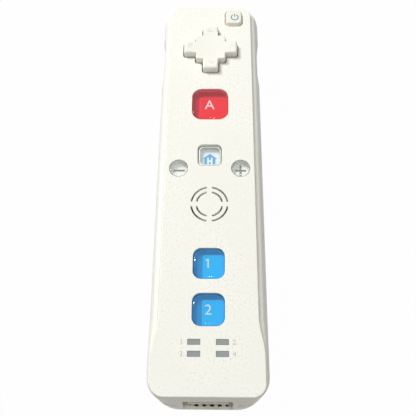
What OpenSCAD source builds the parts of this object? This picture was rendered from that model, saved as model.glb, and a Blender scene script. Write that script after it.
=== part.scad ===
// Motion controller wand, lying on its back: X across, Y from the connector end to the nose, Z up.

/* [Body] */
// Length from the connector end to the nose
body_length = 150; // [147:0.5:156]
// Greatest width, at the shoulder under the face
body_width = 37.6; // [37:0.1:40]
// Height from the belly to the face
body_height = 28; // [27.5:0.1:30]
// Width of the flat face along its straight edges
face_width = 31; // [30:0.1:32]
// Width that the face spreads to at the connector end
face_spread = 34.4; // [33.5:0.1:35]
// Height of the steep edge round the face
face_edge = 1.4; // [1:0.1:1.6]
// How far the steep edge leans out at its foot
edge_lean = 0.4; // [0.2:0.05:0.6]
// Rounding on top of the face edge
edge_round = 0.25; // [0.15:0.05:0.35]
// Corner radius of the face at the connector end
face_corner = 4; // [3:0.5:5]
// Corner radius of the body at the connector end, at its widest
end_corner = 10; // [8:0.5:11]
// Corner radius at the nose
nose_corner = 7; // [6:0.5:8]
// Height of the widest line above the belly
widest_height = 20; // [18:0.5:21]
// Height of the joint between the two shells
parting_height = 13; // [12.6:0.1:13.4]
// Width of the flat strip along the belly
belly_width = 18.6; // [17:0.1:20]
// How far the connector end leans out below the face
end_lean = 2.8; // [2:0.1:3.4]
// How far the belly stops short of the connector end
end_tuck = 5.5; // [4:0.5:7]
// Wall of both shells
shell_wall = 2; // [1.6:0.1:2.2]

/* [Finger scoops] */
// Depth of the scoop in each side, beside the trigger
side_scoop = 0.8; // [0.3:0.1:1.2]
// Distance from the nose to the front end of the side scoops
side_scoop_nose = 13.5; // [12:0.5:15]
// Length of the side scoops
side_scoop_length = 21; // [18:0.5:24]
// Where the belly starts to rise towards the trigger
belly_end = 12; // [10.5:0.5:13]
// Length of the rise of the belly
belly_rise = 22; // [18:0.5:23]
// Height of the underside behind the trigger
scoop_height = 9; // [8.5:0.1:9.2]
// Height of the underside of the nose
nose_height = 7; // [6:0.1:7.5]

/* [Four-way pad] */
// Width of the pad over its arms
pad_span = 20.2; // [19:0.1:21]
// Width of one arm
pad_arm = 5.8; // [5:0.1:6.2]
// Width of the stepped block in the middle
pad_block = 11.2; // [10:0.1:12]
// Place of the pad, as a share of the length from the middle
pad_place = 0.3535; // [0.35:0.0005:0.356]
// Height of the pad above the face
pad_rise = 2.5; // [2:0.1:3]
// Radius of the hollow in the top of the pad
pad_dish = 70; // [50:1:120]
// Tilt of the pad from its middle, in degrees
pad_tilt = 3.2; // [2:0.1:3.4]

/* [Face buttons] */
// Width of the aperture of button A
a_size = 13.2; // [12.6:0.1:13.6]
// Corner radius of button A
a_corner = 3.6; // [3:0.1:4.5]
// Place of button A, as a share of the length from the middle
a_place = 0.19167; // [0.187:0.0005:0.196]
// Width of the aperture of the home button
home_size = 8.5; // [8:0.1:8.8]
// Corner radius of the home button
home_corner = 1.9; // [1.5:0.1:2.5]
// Place of the home button, as a share of the length from the middle
home_place = 0.04967; // [0.047:0.0005:0.053]
// Diameter of the apertures of minus and plus
round_size = 6.5; // [6.2:0.1:6.8]
// Distance of minus and plus from the middle
round_x = 10.72; // [10.6:0.02:10.9]
// Place of minus and plus, as a share of the length from the middle
round_place = 0.01567; // [0.013:0.0005:0.018]
// Width of the apertures of buttons 1 and 2
number_size = 10.25; // [10:0.05:10.6]
// Corner radius of buttons 1 and 2
number_corner = 2.7; // [2:0.1:3.5]
// Place of button 1, as a share of the length from the middle
one_place = -0.21233; // [-0.215:0.0005:-0.209]
// Place of button 2, as a share of the length from the middle
two_place = -0.311; // [-0.316:0.0005:-0.309]
// Width of the aperture of the power button
power_width = 6.9; // [6.5:0.1:7.1]
// Length of the aperture of the power button
power_length = 7.5; // [7:0.1:7.7]
// Corner radius of the power button
power_corner = 1.8; // [1.4:0.1:2.4]
// Distance of the power button from the middle
power_x = 9; // [8.6:0.05:9.2]
// Distance from the nose to the middle of the power button
power_nose = 6.1; // [6:0.05:6.6]
// Gap round buttons A, 1, 2, minus, plus and power
button_gap = 0.15; // [0.1:0.01:0.2]
// Gap round the home button
home_gap = 0.3; // [0.2:0.05:0.4]
// Gap round the four-way pad
pad_gap = 0.42; // [0.4:0.01:0.5]
// Height of button A above the face
a_rise = 1.6; // [1.2:0.1:2]
// Height of buttons 1 and 2 above the face
number_rise = 1.3; // [0.9:0.1:1.6]
// Height of minus and plus above the face
round_rise = 0.9; // [0.5:0.1:1.2]
// Height of the power button above the face
power_rise = 1; // [0.6:0.1:1.3]
// Depth of the home button below the face
home_depth = 0.9; // [0.6:0.1:1.2]
// Height of the dome on buttons A, 1 and 2
crown = 1.2; // [0.8:0.1:1.3]
// Travel of button A
a_travel = 1; // [0.6:0.1:1.1]
// Travel of buttons 1 and 2
number_travel = 0.8; // [0.5:0.1:1]
// Travel of home, minus, plus and power
small_travel = 0.5; // [0.3:0.1:0.7]
// Thickness of the flanges that keep the buttons in
flange = 0.9; // [0.7:0.05:1]
// Width of the flanges outside their apertures
flange_lip = 0.8; // [0.6:0.05:0.9]
// Gap between the flanges and the roof of the front shell
flange_gap = 0.3; // [0.1:0.05:0.35]
// Gap between the flanges and the well round them
well_gap = 0.3; // [0.2:0.05:0.35]
// Wall of the wells round the buttons
well_wall = 0.8; // [0.6:0.05:0.9]
// Depth of the wells below the roof
well_depth = 2.4; // [2:0.1:2.8]

/* [Speaker] */
// Place of the speaker, as a share of the length from the middle
speaker_place = -0.07433; // [-0.077:0.0005:-0.072]
// Outer diameter of the outer ring of slots
slots_outer = 12.84; // [12:0.1:14]
// Outer diameter of the inner ring of slots
slots_inner = 9.32; // [8:0.1:10]
// Width of a slot
slot_width = 0.6; // [0.4:0.05:0.8]
// Width of the cross that parts the slots
slot_cross = 1.6; // [1.2:0.1:2]
// Diameter of the speaker
speaker_size = 17.2; // [16:0.2:18]

/* [Player lights] */
// Width of one light window
light_width = 3.93; // [3.6:0.05:4.1]
// Length of one light window along the wand
light_length = 1.75; // [1.5:0.05:1.9]
// Distance of the windows from the middle
light_x = 4.32; // [4.1:0.02:4.6]
// Distance of the windows from the housing of the port
light_gap = 0.51; // [0.4:0.01:0.7]
// Distance between the two rows
light_pitch = 3.51; // [3.3:0.05:3.8]

/* [Expansion port] */
// Width of the port mouth
port_width = 15.1; // [14.4:0.1:15.6]
// Height of the port mouth
port_height = 9.5; // [9.2:0.1:9.7]
// Height of the port floor above the shell joint
port_floor_rise = 1.5; // [1.3:0.1:1.6]
// Depth from the connector end to the back of the port
port_depth = 12.2; // [11.6:0.1:12.4]
// Wall of the port housing
port_wall = 1.4; // [1.2:0.1:1.5]
// Width of the tongue
tongue_width = 12; // [11:0.1:12.6]
// Thickness of the tongue
tongue_height = 1.8; // [1.4:0.1:2]
// Distance of the tongue below the port's roof
tongue_drop = 1.4; // [1.2:0.1:1.6]
// Distance from the connector end to the tip of the tongue
tongue_inset = 1.25; // [1:0.05:1.6]
// Distance between the ribs on the port floor
rib_pitch = 2.4; // [2.2:0.05:2.6]
// Height of the ribs on the port floor
rib_height = 0.8; // [0.5:0.05:0.9]
// Width of a strap slot
strap_width = 4.2; // [3.6:0.1:4.4]
// Height of a strap slot
strap_height = 3.4; // [3:0.1:3.8]
// Distance of the strap slots from the middle
strap_x = 11.4; // [11.35:0.05:11.9]
// Height of the strap slots' floor
strap_floor = 17.8; // [17:0.1:18.4]

/* [Battery bay] */
// Diameter of a cell
cell_size = 14.3; // [14:0.1:14.5]
// Length of a cell without its cap
cell_length = 49; // [48.5:0.1:49.5]
// Gap between the two cells
cell_gap = 0.4; // [0.2:0.1:0.5]
// Room for the contacts at each end of a cell
contact_room = 3.4; // [3:0.1:3.6]
// Distance from the connector end to the bay
bay_end = 18; // [17.6:0.1:18.5]
// Wall of the bay
bay_wall = 1.2; // [1:0.1:1.3]
// Thickness of the battery door
door_wall = 1.7; // [1.5:0.1:1.8]
// Width of the battery door
door_width = 27; // [26:0.1:28]
// How far the door reaches past the bay at each end
door_reach = 4.6; // [4.2:0.1:5]
// Gap round the door
door_gap = 0.2; // [0.15:0.01:0.3]
// How far the door lies inside the belly line
door_recess = 0.1; // [0.05:0.01:0.15]

/* [Trigger] */
// Width of the trigger
trigger_width = 16; // [15:0.1:16.6]
// Gap round the trigger
trigger_gap = 0.4; // [0.3:0.05:0.5]
// Distance from the nose to the hinge pin
trigger_nose = 17.5; // [17:0.1:18]
// Height of the hinge pin
trigger_pin_height = 13.2; // [13:0.1:13.5]
// Diameter of the hinge pin
trigger_pin_size = 2; // [1.8:0.1:2.2]
// Running clearance of the pin in the trigger
pin_clearance = 0.06; // [0.03:0.01:0.09]
// Length of the trigger behind its pin
trigger_length = 26.5; // [25.5:0.1:27]
// Height of the tip of the trigger's lip
trigger_lip = 2.6; // [2:0.1:3.5]

/* [Board and motor] */
// Thickness of the main board
board_thick = 1.2; // [1:0.1:1.3]
// Distance from the face down to the board
board_depth = 7.4; // [7.3:0.05:7.5]
// Width of the board
board_width = 30; // [29:0.1:30.6]
// Thickness of the rubber sheets
rubber_thick = 0.6; // [0.5:0.05:0.7]
// Diameter of the rumble motor
motor_size = 7.5; // [7:0.1:8]
// Length of the rumble motor, as a share of the room between the bay and the trigger
motor_share = 0.51613; // [0.48:0.005:0.53]
// Radius of the eccentric weight
weight_radius = 4.3; // [4:0.1:4.5]
// Distance of the motor to the left of the middle
motor_x = 7; // [6.8:0.1:7.4]

/* [Screws] */
// Diameter of the shell screws
screw_size = 2; // [1.8:0.1:2.2]
// Diameter of the shell screws' heads
screw_head = 3.8; // [3.5:0.1:4]
// Distance of the end screws from the middle
end_screw_x = 12.6; // [12.5:0.05:12.8]
// Distance from the connector end to the end screws
end_screw_end = 9; // [8.6:0.1:9.4]
// Distance of the nose screws from the middle
nose_screw_x = 12.9; // [12.8:0.05:13]
// Distance from the nose to the nose screws
nose_screw_nose = 14.5; // [14.2:0.1:15]
// Diameter of the board screws
board_screw = 1.6; // [1.4:0.1:1.8]

/* [Hidden] */
$fn = 48;

white = [0.95, 0.95, 0.92];
cream = [0.90, 0.88, 0.80];
red = [0.91, 0.26, 0.31];
blue = [0.20, 0.60, 0.87];
clear_grey = [0.78, 0.82, 0.83];
steel = [0.72, 0.72, 0.74];
rubber_grey = [0.55, 0.56, 0.57];
board_green = [0.10, 0.38, 0.24];
dark = [0.10, 0.10, 0.12];

// Levels of the body
half_length = body_length / 2;
half_max = body_width / 2;
half_face = face_width / 2;
half_foot = half_face + edge_lean;
half_belly = belly_width / 2;
face = body_height;
foot = face - face_edge;
roof = face - shell_wall;
parting = parting_height;
widest = widest_height;
small = 0.1;
over = 1;

// Shape of the ends and sides between the levels
end_power = 1.6;
corner_power = 2.2;
nose_lean = 0.5;
nose_tuck = 4;
flare_length = 12;
flare_start = -half_length + 26.5;
scoop_ramp = 5;
scoop_front = half_length - side_scoop_nose;
scoop_back = scoop_front - side_scoop_length;
scoop_step = 1.6;

function ease(t) = let (c = min(max(t, 0), 1)) c * c * (3 - 2 * c);
function bow(t) = sqrt(max(0, 1 - t * t));
function above(z) = max(0, (z - parting) / (face - parting));
function below(z) = max(0, (parting - z) / parting);

// Half width of the body at height z, before the flare and the side scoops
function half_width(z) =
    z >= foot ? half_face + edge_lean * (face - z) / face_edge :
    z > widest ? half_foot + (half_max - half_foot) * bow((z - widest) / (foot - widest)) :
    z >= parting ? half_max :
    half_belly + (half_max - half_belly) * bow(below(z));
function near_end(z) = -half_length + end_lean * pow(above(z), end_power) + end_tuck * (1 - bow(below(z)));
function far_end(z) = half_length - nose_lean * pow(above(z), end_power) - nose_tuck * (1 - bow(below(z)));
function near_corner(z) =
    face_corner + (end_corner - face_corner) * (1 - pow(above(z), corner_power)) - 2 * below(z);
function far_corner(z) = nose_corner - 3 * pow(above(z), 2) - below(z);

// The face spreads to the full width at the connector end, and the sides draw in beside the trigger
function flare(z) =
    (face_spread - face_width) / 2 * max(0, (half_max - half_width(z)) / (half_max - half_face)) *
    (z > widest ? 1 : 0);
function scoop_fade(z) = z > widest ? 1 - ease((z - widest) / (foot - widest)) : 1;
function scoop(y) = min(ease((y - scoop_back) / scoop_ramp), ease((scoop_front - y) / scoop_step));
function side(y, z, inset) = half_width(z) - inset + flare(z) * ease((flare_start - y) / flare_length)
    - side_scoop * scoop_fade(z) * scoop(y);
side_stations = concat(
    [for (k = [4:-1:0]) flare_start - flare_length * k / 4],
    [-half_length / 3, 0, half_length / 4],
    [for (k = [0:4]) scoop_back + scoop_ramp * k / 4],
    [scoop_front - 8],
    [for (k = [0:3]) scoop_front - scoop_step * (1 - k / 3)]
);

// Plan outline of the body at height z, drawn in by inset, counter-clockwise from the connector end
function right_side(z, inset) =
    let (
        n = near_end(z) + inset,
        f = far_end(z) - inset,
        nr = max(near_corner(z) - inset, 1),
        fr = max(far_corner(z) - inset, 1),
        nx = side(n + nr, z, inset) - nr,
        fx = side(f - fr, z, inset) - fr
    )
    concat(
        [for (a = [-90:15:0]) [nx + nr * cos(a), n + nr + nr * sin(a)]],
        [for (y = side_stations) [side(y, z, inset), y]],
        [for (a = [0:15:90]) [fx + fr * cos(a), f - fr + fr * sin(a)]]
    );
function outline(z, inset) =
    let (r = right_side(z, inset), n = len(r))
    concat(r, [for (k = [n - 1:-1:0]) [-r[k][0], r[k][1]]]);

// Solid through a stack of outlines with the same number of points
module loft(levels, outlines) {
    n = len(outlines[0]);
    last = len(levels) - 1;
    points = [for (i = [0:last]) for (p = outlines[i]) [p[0], p[1], levels[i]]];
    sides = [for (i = [0:last - 1]) for (k = [0:n - 1]) let (j = (k + 1) % n, a = i * n, b = a + n)
        each [[a + k, b + k, b + j], [a + k, b + j, a + j]]];
    polyhedron(points, concat(sides, [[for (k = [0:n - 1]) k], [for (k = [n - 1:-1:0]) last * n + k]]));
}

// Flat bottom and top for a loft that runs past them
module cut_flat(bottom, top) {
    intersection() {
        children();
        block(-body_width, body_width, -body_length, body_length, bottom, top);
    }
}

// Outside of the body above the shell joint: side, shoulder, then the steep edge with its rounding
side_levels = [for (s = [0, 0.35, 0.7]) parting + (widest - parting) * s];
shoulder_steps = [0, 0.35, 0.65, 0.86, 0.97, 1];
module outer_form() {
    levels = concat(side_levels, [for (s = shoulder_steps) widest + (foot - widest) * s],
        [face - edge_round]);
    cut_flat(parting, face) loft(
        concat([parting - over], levels, [face + edge_round]),
        concat([outline(parting, 0)], [for (z = levels) outline(z, 0)], [outline(face, 2 * edge_round)])
    );
}

// Space inside the front shell, drawn in by inset, from the level bottom up to the level top
module inner_form(inset, bottom, top) {
    levels = concat(side_levels, [for (s = [0, 0.35, 0.65, 0.86, 1]) widest + (top - widest) * s]);
    cut_flat(bottom, top) loft(
        concat([bottom - over], levels, [top + over]),
        concat([outline(parting, inset)], [for (z = levels) outline(z, inset)], [outline(top, inset)])
    );
}

module lower_form(inset, floor_height, top) {
    steps = [90, 75, 60, 45, 30, 15, 0];
    parts = [for (a = steps) 1 - sin(a)];
    cut_flat(floor_height, top) loft(
        concat([floor_height - over],
            [for (p = parts) floor_height + (parting - floor_height) * p], [top + over]),
        concat([outline(0, inset)],
            [for (p = parts) outline(parting * p, inset)], [outline(parting, inset)])
    );
}

// Straight wall round the plan outline at the shell joint
module joint_form(inset, bottom, top) {
    translate([0, 0, bottom]) linear_extrude(top - bottom) polygon(outline(parting, inset));
}

// Rounded rectangle with straight-edged corners of n chords each
function rounded(w, h, r, n = 6) =
    [for (q = [0:3]) for (k = [0:n]) let (a = q * 90 + 90 * k / n)
        [(w / 2 - r) * (q == 0 || q == 3 ? 1 : -1) + r * cos(a),
            (h / 2 - r) * (q < 2 ? 1 : -1) + r * sin(a)]];

module block(x0, x1, y0, y1, z0, z1) {
    translate([x0, y0, z0]) cube([x1 - x0, y1 - y0, z1 - z0]);
}

module slab(w, h, r, z0, z1) {
    translate([0, 0, z0]) linear_extrude(z1 - z0) polygon(rounded(w, h, r));
}

module rod(r, z0, z1) {
    translate([0, 0, z0]) cylinder(r = r, h = z1 - z0);
}

module rod_x(r, x0, x1) {
    translate([x0, 0, 0]) rotate([0, 90, 0]) cylinder(r = r, h = x1 - x0);
}

module rod_y(r, y0, y1) {
    translate([0, y0, 0]) rotate([-90, 0, 0]) cylinder(r = r, h = y1 - y0);
}

module both_sides() {
    children();
    mirror([1, 0, 0]) children();
}

// Side view profile (y, z) drawn across the wand from x0 to x1
module across(x0, x1, profile) {
    translate([x0, 0, 0]) rotate([90, 0, 90]) linear_extrude(x1 - x0) polygon(profile);
}

// Places along the wand
near = -half_length;
nose = half_length;
pad_y = pad_place * body_length;
a_y = a_place * body_length;
home_y = home_place * body_length;
round_y = round_place * body_length;
speaker_y = speaker_place * body_length;
one_y = one_place * body_length;
two_y = two_place * body_length;
port_back = near + port_depth;
light_y = port_back + port_wall + light_gap + (light_length + light_pitch) / 2;
power_y = nose - power_nose;
end_screw_y = near + end_screw_end;
nose_screw_y = nose - nose_screw_nose;
pin_y = nose - trigger_nose;
pin_z = trigger_pin_height;

// Heights inside the wand
board_top = face - board_depth;
board_low = board_top - board_thick;
sheet_top = board_top + rubber_thick;
flange_top = roof - flange_gap;
flange_low = flange_top - flange;
dome_rest = 0.8;
stem_gap = 0.1;
stem_radius = 1.6;
function dome_height(travel) = travel + dome_rest;
function stem_low(travel) = sheet_top + dome_height(travel) + stem_gap;
lens_low = flange_top;

// Belly line: flat, then up to the trigger, then down a little to the nose
rise_steps = 10;
nose_step = 5;
nose_step_start = pin_y + 1;
function belly(y) =
    y > nose_step_start ?
        scoop_height - (scoop_height - nose_height) * ease((y - nose_step_start) / nose_step) :
    scoop_height * ease((y - belly_end) / belly_rise);
belly_stations = concat(
    [for (k = [1:rise_steps]) belly_end + belly_rise * k / rise_steps],
    [for (k = [0:4]) nose_step_start + nose_step * k / 4]
);

module under_belly(raise, shift) {
    across(-half_max - over, half_max + over, concat(
        [[belly_end - shift, -over], [belly_end - shift, raise]],
        [for (y = belly_stations) [y - shift * (y < nose_step_start ? 1 : -0.2), belly(y) + raise]],
        [[nose + over, nose_height + raise], [nose + over, -over]]
    ));
}

// Battery bay
cell_radius = cell_size / 2;
cell_x = cell_radius + cell_gap / 2;
cell_clearance = 0.15;
bay_near = near + bay_end;
bay_far = bay_near + cell_length + 2 * contact_room;
door_inner = door_recess + door_wall;
cell_z = door_inner + cell_clearance + cell_radius;
bay_half = cell_x + cell_radius + cell_clearance;
bay_roof = cell_z + cell_radius + cell_clearance;
bay_top = bay_roof + bay_wall;
door_near = bay_near - door_reach;
door_far = bay_far + door_reach;
door_y = (door_near + door_far) / 2;
door_length = door_far - door_near;
door_corner = 3;
door_cut_top = 6;

module door_prism(gap, z0, z1) {
    translate([0, door_y, 0]) slab(door_width + 2 * gap, door_length + 2 * gap, door_corner + gap, z0, z1);
}

hook_x = 7;
hook_half = 2;
hook_reach = 1.8;
hook_height = 1.2;
sill_gap = 0.2;
hinge_y = door_near - door_gap / 2;

module battery_door() color(white) {
    latch_width = 9;
    difference() {
        intersection() {
            difference() {
                translate([0, 0, door_recess]) lower_form(0, 0, parting + over);
                translate([0, 0, door_recess]) lower_form(door_wall, door_wall, parting + 2 * over);
            }
            door_prism(0, -over, door_cut_top);
        }
        translate([0, door_far - 6, -8.6 + door_recess]) rod_x(9.4, -latch_width / 2, latch_width / 2);
    }
    both_sides() {
        block(hook_x - hook_half, hook_x + hook_half, door_near + small, door_near + 2,
            door_inner - small, shell_wall + sill_gap + hook_height);
        block(hook_x - hook_half, hook_x + hook_half, door_near - hook_reach, door_near + 2,
            shell_wall + sill_gap, shell_wall + sill_gap + hook_height);
    }
    // ribs that stiffen the door between the cells
    block(-0.5, 0.5, bay_near + 2, bay_far - 2, door_inner - small, door_inner + 1);
}

// Screws and their posts
head_height = 1.6;
post_radius = 2.9;
boss_radius = 2.4;
joint_gap = 0.1;
end_head_z = 4.6;
nose_head_z = 9.8;
hole_clearance = 0.15;
thread_clearance = 0.02;
screw_bite = 7;
post_top = parting + 0.3;
boss_low = post_top + joint_gap;

module at_end_screws() {
    for (s = [-1, 1]) translate([s * end_screw_x, end_screw_y, 0]) children();
}

module at_nose_screws() {
    for (s = [-1, 1]) translate([s * nose_screw_x, nose_screw_y, 0]) children();
}

// Board screws hold the board to posts under the roof
board_screw_x = 12.9;
board_screw_ys = [-0.14333 * body_length, 0.264 * body_length];
board_post = 2;

module at_board_screws() {
    for (s = [-1, 1]) for (y = board_screw_ys) translate([s * board_screw_x, y, 0]) children();
}

// Four-way pad outline: two crossed arms and a square block, grown by gap
module pad_outline(gap) {
    arm = pad_arm + 2 * gap;
    span = pad_span + 2 * gap;
    union() {
        polygon(rounded(span, arm, 0.9));
        polygon(rounded(arm, span, 0.9));
        polygon(rounded(pad_block + 2 * gap, pad_block + 2 * gap, 0.8));
    }
}

// Well that keeps a button's flange square under the roof
module well(w, h, r) {
    grow = flange_lip + well_gap;
    difference() {
        slab(w + 2 * (grow + well_wall), h + 2 * (grow + well_wall), r + grow + well_wall,
            roof - well_depth, roof + small);
        slab(w + 2 * grow, h + 2 * grow, r + grow, roof - well_depth - over, roof + over);
    }
}

module round_well(r, wall, depth) {
    difference() {
        rod(r + wall, roof - depth, roof + small);
        rod(r, roof - depth - over, roof + over);
    }
}

speaker_radius = speaker_size / 2;
speaker_clearance = 0.2;
gasket = 0.7;

module speaker_slots() {
    difference() {
        for (d = [slots_outer, slots_inner]) difference() {
            rod(d / 2, roof - small, face + over);
            rod(d / 2 - slot_width, roof - over, face + 2 * over);
        }
        block(-slots_outer, slots_outer, -slot_cross / 2, slot_cross / 2, roof - over, face + 2 * over);
        block(-slot_cross / 2, slot_cross / 2, -slots_outer, slots_outer, roof - over, face + 2 * over);
    }
}

// Expansion port in the connector end
port_floor = parting + port_floor_rise;
port_top = port_floor + port_height;
port_half = port_width / 2;
port_corner = 0.8;

module port_mouth() {
    translate([0, 0, (port_floor + port_top) / 2])
        rotate([90, 0, 0]) linear_extrude(body_length, center = true)
        polygon(rounded(port_width, port_height, port_corner, 3));
}

window_width = 19;
window_height = 9.4;
window_z = 16;
window_corner = 2;
window_clearance = 0.1;
window_lip = 1.2;
window_thick = 1.2;
window_back = 0.4;

module window_form(grow) {
    translate([0, 0, window_z]) rotate([90, 0, 0]) linear_extrude(body_length, center = true)
        polygon(rounded(window_width + 2 * grow, window_height + 2 * grow, window_corner + grow));
}

strap_bar = 0.9;
strap_bar_y = near + 4.9;
notch_depth = 0.9;
notch_width = 4;

module front_shell() color(white) {
    rib = 1;
    rib_half = half_face - 0.5;
    difference() {
        union() {
            difference() {
                outer_form();
                inner_form(shell_wall, parting - over, roof);
            }
            at_end_screws() rod(boss_radius, boss_low, roof + small);
            at_nose_screws() rod(boss_radius, boss_low, roof + small);
            at_board_screws() rod(board_post, board_top, roof + small);
            translate([0, a_y, 0]) well(a_size, a_size, a_corner);
            translate([0, home_y, 0]) well(home_size, home_size, home_corner);
            for (y = [one_y, two_y]) translate([0, y, 0]) well(number_size, number_size, number_corner);
            for (s = [-1, 1]) translate([s * round_x, round_y, 0])
                round_well(round_size / 2 + flange_lip + well_gap, well_wall, well_depth);
            translate([0, speaker_y, 0]) round_well(speaker_radius + speaker_clearance, well_wall, 3.6);
            // brackets that hold the strap bars behind their slots
            both_sides() for (z = [strap_floor - 3.5, strap_floor + strap_height + 1])
                block(strap_x - 1.8, strap_x + 1.8, near + shell_wall, strap_bar_y + strap_bar, z, z + 1.2);
            for (y = [light_y + light_pitch / 2 + 1.8, a_y - a_size / 2 - 4, pad_y - pad_span / 2 - 3.2])
                block(-rib_half, rib_half, y - rib / 2, y + rib / 2, roof - 2, roof + small);
        }
        translate([0, a_y, 0]) slab(a_size, a_size, a_corner, roof - small, face + over);
        translate([0, home_y, 0]) slab(home_size, home_size, home_corner, roof - small, face + over);
        for (y = [one_y, two_y]) translate([0, y, 0])
            slab(number_size, number_size, number_corner, roof - small, face + over);
        translate([power_x, power_y, 0])
            slab(power_width, power_length, power_corner, roof - over, face + over);
        for (s = [-1, 1]) translate([s * round_x, round_y, 0])
            rod(round_size / 2, roof - small, face + over);
        translate([0, pad_y, roof - over]) linear_extrude(shell_wall + 2 * over) pad_outline(pad_gap);
        translate([0, speaker_y, 0]) speaker_slots();
        for (s = [-1, 1]) for (t = [0, 1]) translate([s * light_x, light_y - light_pitch * (t - 0.5), 0])
            block(-light_width / 2, light_width / 2,
                -light_length / 2, light_length / 2, roof - over, face + over);
        intersection() {
            port_mouth();
            block(-half_max, half_max, near - over, port_back, 0, face);
        }
        block(-notch_width / 2 + 1.4, notch_width / 2 + 1.4, near - over, near + shell_wall + over,
            port_floor - notch_depth, port_floor + over);
        both_sides() block(strap_x - strap_width / 2, strap_x + strap_width / 2, near - over, near + 4,
            strap_floor, strap_floor + strap_height);
        intersection() {
            window_form(window_clearance);
            block(-half_max, half_max, nose - 4, nose + over, 0, face);
        }
        at_end_screws() rod(screw_size / 2 + thread_clearance, boss_low - over, boss_low + screw_bite);
        at_nose_screws() rod(screw_size / 2 + thread_clearance, boss_low - over, boss_low + screw_bite);
        at_board_screws() rod(board_screw / 2 + thread_clearance, board_top - over, roof - 1.4);
    }
}

// Trigger opening and the ears that hold its pin
trigger_half = trigger_width / 2;
pin_radius = trigger_pin_size / 2;
hub_radius = 2.5;
ear_wall = 2;
ear_gap = 0.5;
ear_in = trigger_half + ear_gap;
ear_out = ear_in + ear_wall;
trigger_back = pin_y - trigger_length;
opening_back = trigger_back - 1.2;
opening_front = pin_y + hub_radius + 1;
pin_fit = 0.01;

sync_x = 9;
sync_radius = 1.8;
sync_guide = 3;
sync_y = bay_far + sync_guide + 0.1;
sync_low = door_inner + 1.4;
sync_travel = 0.4;
sync_switch_low = board_low - 3.4;

motor_z = 13.6;
motor_radius = motor_size / 2;
motor_start = bay_far + bay_wall + 1.6;
motor_end = motor_start + motor_share * (opening_back - bay_far);
cradle_gap = 0.05;

module motor_cradles() {
    for (y = [motor_start + 2, motor_end - 4]) difference() {
        block(-motor_x - motor_radius - 1, -motor_x + motor_radius + 1, y, y + 1.6, 1, motor_z);
        translate([-motor_x, 0, motor_z]) rod_y(motor_radius + cradle_gap, y - over, y + 3);
    }
}

module bay_walls() {
    difference() {
        block(-bay_half - bay_wall, bay_half + bay_wall,
            bay_near - bay_wall, bay_far + bay_wall, 1, bay_top);
        block(-bay_half, bay_half, bay_near, bay_far, -over, bay_roof);
    }
    // ledges under the door's two ends
    block(-door_width / 2 - 1, door_width / 2 + 1, door_near - 1, bay_near, door_inner, door_inner + 1.6);
    block(-door_width / 2 - 1, door_width / 2 + 1, bay_far, door_far + 1, door_inner, door_inner + 1.6);
}

module rear_features() {
    bay_walls();
    motor_cradles();
    at_end_screws() rod(post_radius, 1, post_top);
    at_nose_screws() rod(post_radius, 1, post_top);
    translate([sync_x, sync_y, 0]) rod(sync_guide, 1, bay_roof - 5);
    both_sides() block(ear_in, ear_out, pin_y - 2.4, pin_y + 2.4, 1, pin_z + 2.2);
}

lip_wall = 0.9;
lip_height = 1.2;
lip_gap = 0.15;

// Tongue on the rear shell's rim that locates the front shell
module rim_tongue() {
    difference() {
        union() {
            joint_form(shell_wall + lip_gap, parting - over, parting + lip_height);
            joint_form(shell_wall - 0.2, parting - 2, parting - small);
        }
        joint_form(shell_wall + lip_gap + lip_wall, parting - 3, parting + lip_height + over);
    }
}

module rear_shell() color(white) {
    difference() {
        union() {
            difference() {
                lower_form(0, 0, parting);
                difference() {
                    lower_form(shell_wall, shell_wall, parting + over);
                    under_belly(shell_wall, 0.9);
                }
                door_prism(door_gap, -over, door_cut_top);
            }
            difference() {
                intersection() {
                    rear_features();
                    rear_room();
                }
                difference() {
                    door_prism(door_gap, -over, door_cut_top);
                    translate([0, 0, door_recess + small]) lower_form(door_wall, door_wall, parting + over);
                }
            }
            rim_tongue();
        }
        under_belly(0, 0);
        block(-trigger_half - trigger_gap, trigger_half + trigger_gap, opening_back, opening_front,
            -over, parting + 4);
        both_sides() {
            block(hook_x - hook_half - 0.3, hook_x + hook_half + 0.3, door_near - 2.2, bay_near - 1.25,
                shell_wall, shell_wall + 3.6);
            block(hook_x - hook_half - 0.3, hook_x + hook_half + 0.3, door_near - door_gap, bay_near - 1.25,
                door_inner - small, shell_wall + small);
        }
        translate([0, pin_y, pin_z]) rod_x(pin_radius + pin_fit, -ear_out - over, ear_out + over);
        at_end_screws() rod(screw_head / 2 + 0.2, -over, end_head_z + head_height);
        at_nose_screws() rod(screw_head / 2 + 0.2, -over, nose_head_z + head_height);
        at_end_screws() rod(screw_size / 2 + hole_clearance, 0, parting + over);
        at_nose_screws() rod(screw_size / 2 + hole_clearance, 0, parting + over);
        translate([sync_x, sync_y, 0]) rod(sync_radius + 0.08, door_inner, parting + over);
        intersection() {
            window_form(window_clearance);
            block(-half_max, half_max, nose - 4, nose + over, 0, face);
        }
        // the front shell's bosses pass the tongue
        at_end_screws() rod(boss_radius + lip_gap, post_top, parting + 4);
        at_nose_screws() rod(boss_radius + lip_gap, post_top, parting + 4);
        window_room();
        port_room();
    }
}

// Space inside both walls that the rear shell's inner features may fill
module rear_room() {
    room_inset = 0.6;
    union() {
        difference() {
            lower_form(room_inset, room_inset, parting - small);
            under_belly(room_inset, 0.2);
        }
        joint_form(shell_wall + 0.6, parting - over, bay_top + over);
    }
}

module window_room() {
    block(-window_width / 2 - window_lip - 0.3, window_width / 2 + window_lip + 0.3,
        nose - shell_wall - window_thick - 0.9, nose - shell_wall + 0.1,
        window_z - window_height / 2 - window_lip - 0.3, parting + over + 3);
}

module port_room() {
    block(-port_half - port_wall - 0.3, port_half + port_wall + 0.3, near + shell_wall + 0.2, port_back + 2,
        parting - 0.1, parting + 4);
}

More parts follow.
